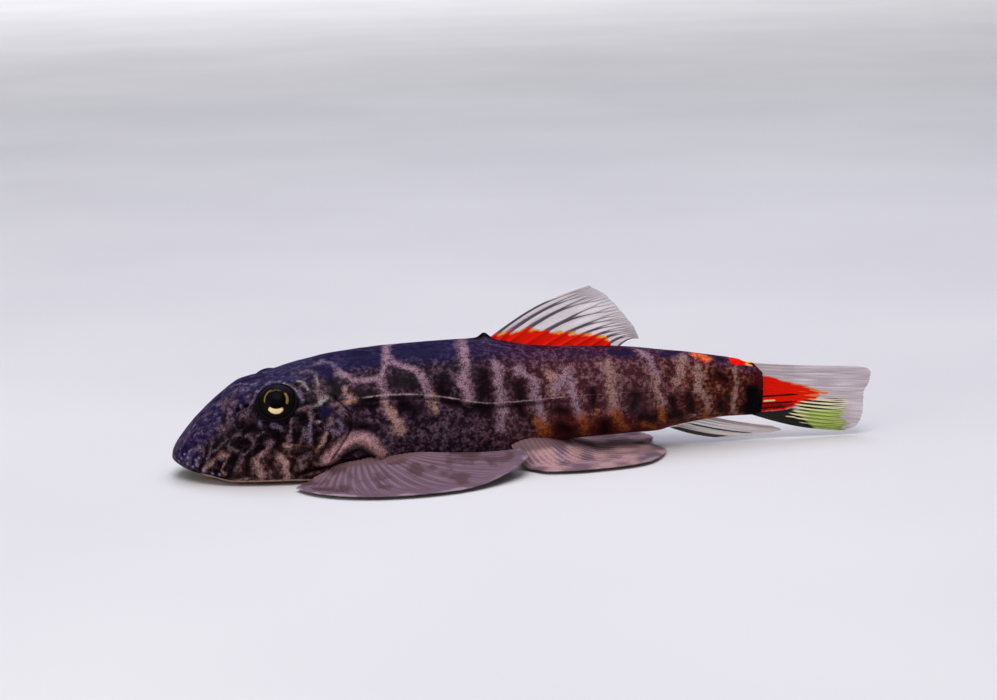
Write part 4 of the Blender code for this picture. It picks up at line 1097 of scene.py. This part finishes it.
def fin_finish(name):
    """Thin skin between rays, its coloured areas laid over both."""
    membrane, ray_colour, alpha, streaks = FIN_COLOURS[name]
    f = Finish(f"{name}_membrane")
    fine = f.grain(0.2)
    ray = f.mask("ray")
    thin, full = (tuple(share * c for c in membrane) for share in streaks)
    colour = f.mix(f.mask("streak"), thin, full)
    colour = f.mix(f.times(f.spread(ray, 0.15, 0.7), 0.85), colour, ray_colour)
    covered = ray
    for mask, layer, strength, opaque in FIN_LAYERS[name]:
        shown = f.times(f.broken(mask, fine, 0.7, 0.3, 0.7), strength)
        colour = f.mix(shown, colour, layer)
        covered = f.maths("MAXIMUM", covered, f.times(shown, opaque))
    covered = f.plus(alpha, f.times(covered, 1 - alpha))
    f.set({
        "Base Color": colour,
        "Roughness": 0.4,
        "Specular IOR Level": 0.05,
        "Alpha": covered,
        "Normal": f.bumps(fine, 0.012),
    })
    return f.material


def make_fin(name, node, slot, shape, masks, material):
    points, faces = shape.faces_and_points()
    points[:, 2] = np.maximum(points[:, 2], 0)
    masks = {"ray": shape.ray, "streak": np.clip(shape.streak, 0, 1), **masks}
    doubled = {key: np.tile(values.ravel(), 2) for key, values in masks.items()}
    ride(new_piece(name, points, faces, doubled, material), slot, node)


def edge(amount, width):
    """A mask that is a half where amount is 0 and grows over a width."""
    return np.clip(0.5 + 0.5 * amount / width, 0, 1)


# Top of the dorsal fin's red band, as heights over the back
DORSAL_RED = (
    (28.1, 0.1), (29.6, 0.45), (31, 1), (32, 1.25), (34.2, 1.05), (37.6, 0.75), (38.8, 0.45), (39.5, -0.4),
)
# Black spot at its front, as its distance from the snout and height over the back
SPOT_X, SPOT_HEIGHT = 28, 0.15


def dorsal_masks(shape):
    """A red band along the base with a flaming fringe and a black spot before it, and dark rays."""
    x, z = shape.middle[..., 0], shape.middle[..., 2]
    above = z - line(BACK_LINE, x)
    top = line(DORSAL_RED, x) + 0.12 * noise(shape.middle, 0.5, 31)
    red = edge(top + 0.35 * shape.ray - above, 0.28) * step(x, 27.9, 28.4)
    flame = np.clip(0.8 + 0.8 * noise(np.stack([shape.t * 30, 0 * x, above / 2], -1), 1.0, 32), 0, 1)
    fringe = step(above, top + 0.2 + 0.35 * flame, top + 0.05) * flame
    fringe *= step(x, 28.0, 28.6) * step(x, 40, 38.8)
    spot = np.clip(1.3 - np.hypot((x - SPOT_X) / 0.5, (above - SPOT_HEIGHT) / 0.6), 0, 1)
    dark = np.clip(1.8 * shape.ray, 0, 1) * step(shape.v, 0.95, 0.4)
    return {"red": red, "fringe": fringe, "black": spot, "dark": dark}


# Upper and lower edges of the caudal fin's red wedge
RED_TOP = ((52.8, 6.05), (55.8, 5.1), (57.2, 4.65), (59.0, 3.95))
RED_FOOT = ((52.8, 2.6), (55.0, 2.65), (56.5, 2.95), (57.5, 3.3), (59.0, 3.9))
# Its green area between two places and under a height, where the red fades, and the black root's edge
GREEN_FROM, GREEN_TO, GREEN_TOP, RED_FADES_FROM, BLACK_ROOT_TO = 55.6, 60.4, 2.62, 56.3, 53.1
# Dark lines in the red: height, half width, strength, and where they are nothing and full
WEDGE_LINES = ((4.02, 0.1, 1, (57.2, 55.8)), (3.35, 0.12, 0.8, (57.2, 55.8)), (2.95, 0.1, 0.9, (55.8, 55)))


def caudal_masks(shape):
    """A red wedge over a green area, with dark lines in the one and pale lines by the other."""
    x, z = shape.middle[..., 0], shape.middle[..., 2]
    wander = 0.1 * noise(shape.middle * (0.35, 1, 1), 0.35, 33)
    red = edge(np.minimum(line(RED_TOP, x) - z, z - line(RED_FOOT, x)) + wander, 0.2) * step(x, 59.0, 58.3)
    fringe = bell(z, line(RED_TOP, x), 0.16) * step(x, 54, 57) * step(x, 60, 59) * 0.8
    fringe = np.maximum(fringe, red)
    fading = RED_FADES_FROM + 2.2 * shape.streak
    red *= 1 - 0.85 * step(x, fading, fading + 1.2)
    left, right = GREEN_FROM + 1.1 * np.maximum(2.5 - z, 0), GREEN_TO + 0.9 * shape.streak
    green = edge(x - left, 0.5) * edge(right - x, 0.6) * edge(GREEN_TOP - z + wander, 0.15)
    dark_zone = edge(line(RED_FOOT, x) - z, 0.12) * edge(left + 0.6 - x, 0.5)
    streaks = edge(x - 56.4, 0.8) * edge(61.2 - x, 0.8) * bell(z, 2.95, 0.6)
    black = np.maximum(dark_zone, streaks * step(shape.ray, 0.55, 0.2))
    limit = BLACK_ROOT_TO - 0.9 * np.clip(z - 6.3, 0, 1)
    root = step(x, limit + 0.12, limit - 0.12)
    black = np.maximum(black, root * step(z, 5.7, 5.1))
    inner = 0.56 * step(z, 3.8, 3.1) * step(x, 57.5, 55.5)
    for height, half, strength, limits in WEDGE_LINES:
        inner = np.maximum(inner, strength * bell(z, height, half) * step(x, *limits))
    pale = step(shape.ray, 0.25, 0.6) * np.maximum(streaks * 1.1, green * step(x, 58.5, 56.5))
    pale = np.maximum(pale, bell(z, 3.6, 0.09) * step(x, 54.6, 54.2) * step(x, 53.1, 53.4))
    foot_line = bell(z, 2.05 - 0.15 * (x - 55.4), 0.06)
    pale = np.maximum(pale, foot_line * step(x, 55.1, 55.6) * step(x, 56.5, 56.1))
    grey = edge(z - line(RED_TOP, x) - 0.1, 0.15) * step(x, 58.5, 54.5) * step(shape.ray, 0.7, 0.2)
    return {
        "red": red,
        "fringe": fringe,
        "green": green,
        "black": np.maximum(black, inner * red),
        "yellow": pale,
        "lime": green * step(shape.ray, 0.25, 0.6),
        "maroon": root * step(z, 5.1, 5.7),
        "grey": grey,
    }


def anal_masks(shape):
    """A black front edge and line with white between them, and a pinkish rear."""
    t, v = shape.t, shape.v
    ramp = step(v, 0.15, 0.3)
    black = np.maximum(step(t, 0.16, 0.1), bell(t, 0.36, 0.035)) * ramp * step(v, 1.0, 0.8)
    white = bell(t, 0.22, 0.06) * ramp
    return {"black": black, "white": white, "pinkish": step(t, 0.7, 0.9) * 0.8}


def make_upright(name, centre, masks):
    shape = FinShape(centre, *FIN_SIZES[name])
    make_fin(f"{name}_fin_rays", f"{name}_fin", "median_fin", shape, masks(shape), fin_finish(name))


def make_paired(side, word, material):
    """Pectoral and pelvic fin of a side: fleshy and lilac-grey, with brown patches and a pale margin."""
    for name, centre in (("pectoral", pectoral_centre(side)), ("pelvic", pelvic_centre(side))):
        shape = FinShape(centre, *FIN_SIZES[name])
        p = shape.middle
        blotches = 0.5 + 0.6 * noise(p, 1.7, 41) + 0.45 * noise(p, 0.7, 42)
        rosy = (name == "pelvic") * np.clip(0.75 + 0.5 * noise(p, 1.2, 43), 0, 1)
        masks = {
            "brown": np.clip(blotches, 0, 1) * step(shape.v, 1.0, 0.8) * (0.9 - 0.45 * (name == "pelvic")),
            "flesh": step(shape.v, 0.3, 0.1),
            "margin": step(shape.v, 0.86, 1.0) * np.clip(0.5 + 0.6 * noise(p, 1.1, 44), 0, 1),
            "rosy": rosy * np.maximum(0.6, shape.ray),
        }
        make_fin(f"{word}_{name}_rays", f"{word}_{name}_fin", "paired_fin", shape, masks, material)


# Camera of the photograph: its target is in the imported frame, angles are in degrees, lengths in
# millimetres, and the photograph's width and the focal length in its pixels
CAMERA_TARGET, CAMERA_DISTANCE = (-2.76, 0, 9.6), 220
CAMERA_AZIMUTH, CAMERA_ELEVATION, CAMERA_ROLL = map(math.radians, (-10, 11, 1.2))
PHOTO_WIDTH, FOCAL_PIXELS, SENSOR = 997, 2486, 36


def make_camera():
    a, e, r = CAMERA_AZIMUTH, CAMERA_ELEVATION, CAMERA_ROLL
    back = Vector((math.sin(a) * math.cos(e), -math.cos(a) * math.cos(e), math.sin(e)))
    right = Vector((math.cos(a), math.sin(a), 0))
    up = back.cross(right)
    turned = Matrix((right * math.cos(r) - up * math.sin(r), up * math.cos(r) + right * math.sin(r), back))
    data = bpy.data.cameras.new("camera")
    data.sensor_width = SENSOR
    data.lens = FOCAL_PIXELS / PHOTO_WIDTH * SENSOR
    data.clip_start = 0.01
    camera = bpy.data.objects.new("camera", data)
    camera.matrix_world = turned.transposed().to_4x4()
    camera.location = (Vector(CAMERA_TARGET) + back * CAMERA_DISTANCE) * MM
    bpy.context.scene.collection.objects.link(camera)
    bpy.context.scene.camera = camera


def area_light(name, place, aim, size, energy, colour, cone=math.pi):
    data = bpy.data.lights.new(name, "AREA")
    data.spread = cone
    data.shape = "DISK"
    data.size = size
    data.energy = energy
    data.color = colour
    lamp = bpy.data.objects.new(name, data)
    lamp.location = place
    lamp.rotation_euler = (Vector(aim) - Vector(place)).to_track_quat("-Z", "Y").to_euler()
    bpy.context.scene.collection.objects.link(lamp)


# Lamps near the fish, in metres and watts: place, what it is aimed at, width, power and colour
LAMPS = {
    "key": ((-0.06, -0.16, 0.34), (-0.01, 0, 0.005), 0.26, 0.8, (1.0, 0.97, 0.97)),
    "top": ((0.04, 0.12, 0.36), (0, 0, 0.005), 0.3, 0.67, (0.78, 0.8, 1.0)),
    "front": ((-0.3, -0.18, 0.12), (-0.02, 0, 0.006), 0.2, 0.27, (1.0, 0.95, 0.9)),
}
# Lamps that keep the floor round the fish pale, with cones too narrow to reach it
FAR_LAMP_WAYS = ((0, 1), (1, 0), (0, -1), (-1, 0))
FAR_LAMP_AWAY, FAR_LAMP_HEIGHT, FAR_LAMP_WIDTH, FAR_LAMP_POWER = 1.0, 0.9, 0.9, 4.2
FAR_LAMP_COLOUR, FAR_LAMP_CONE = (0.96, 0.96, 1.0), math.radians(90)
# Floor: its width, how far it is under the fish, and its two pale tones
FLOOR_WIDTH, FLOOR_BELOW, FLOOR_TONES = 6.0, 0.00005, ((0.66, 0.65, 0.66), (0.72, 0.71, 0.71))
STUDIO_COLOUR, STUDIO_STRENGTH = (0.86, 0.88, 0.95), 0.17


def make_studio():
    """A pale floor under soft light from above."""
    f = Finish("floor")
    f.set({"Base Color": f.mix(f.spread(f.grain(60), -0.3, 0.3), *FLOOR_TONES), "Roughness": 0.8})
    bpy.ops.mesh.primitive_plane_add(size=FLOOR_WIDTH, location=(0, 0, -FLOOR_BELOW))
    floor = bpy.context.object
    floor.name = "floor"
    floor.data.materials.append(f.material)

    world = bpy.data.worlds.new("studio")
    world.use_nodes = True
    background = world.node_tree.nodes["Background"]
    background.inputs["Color"].default_value = (*STUDIO_COLOUR, 1)
    background.inputs["Strength"].default_value = STUDIO_STRENGTH
    bpy.context.scene.world = world
    bpy.context.scene.view_settings.view_transform = "Standard"
    for name, values in LAMPS.items():
        area_light(name, *values)
    far = FAR_LAMP_WIDTH, FAR_LAMP_POWER, FAR_LAMP_COLOUR, FAR_LAMP_CONE
    for x, y in FAR_LAMP_WAYS:
        place = (FAR_LAMP_AWAY * x, FAR_LAMP_AWAY * y)
        area_light("far", (*place, FAR_LAMP_HEIGHT), (*place, 0), *far)


skin = make_skin()
make_barbels(skin)
eye_material, paired_material = eye_finish(), fin_finish("paired")
for side, word in SIDES:
    make_eye(side, word, eye_material)
    make_paired(side, word, paired_material)
make_upright("dorsal", dorsal_centre, dorsal_masks)
make_upright("caudal", caudal_centre, caudal_masks)
make_upright("anal", anal_centre, anal_masks)
make_camera()
make_studio()
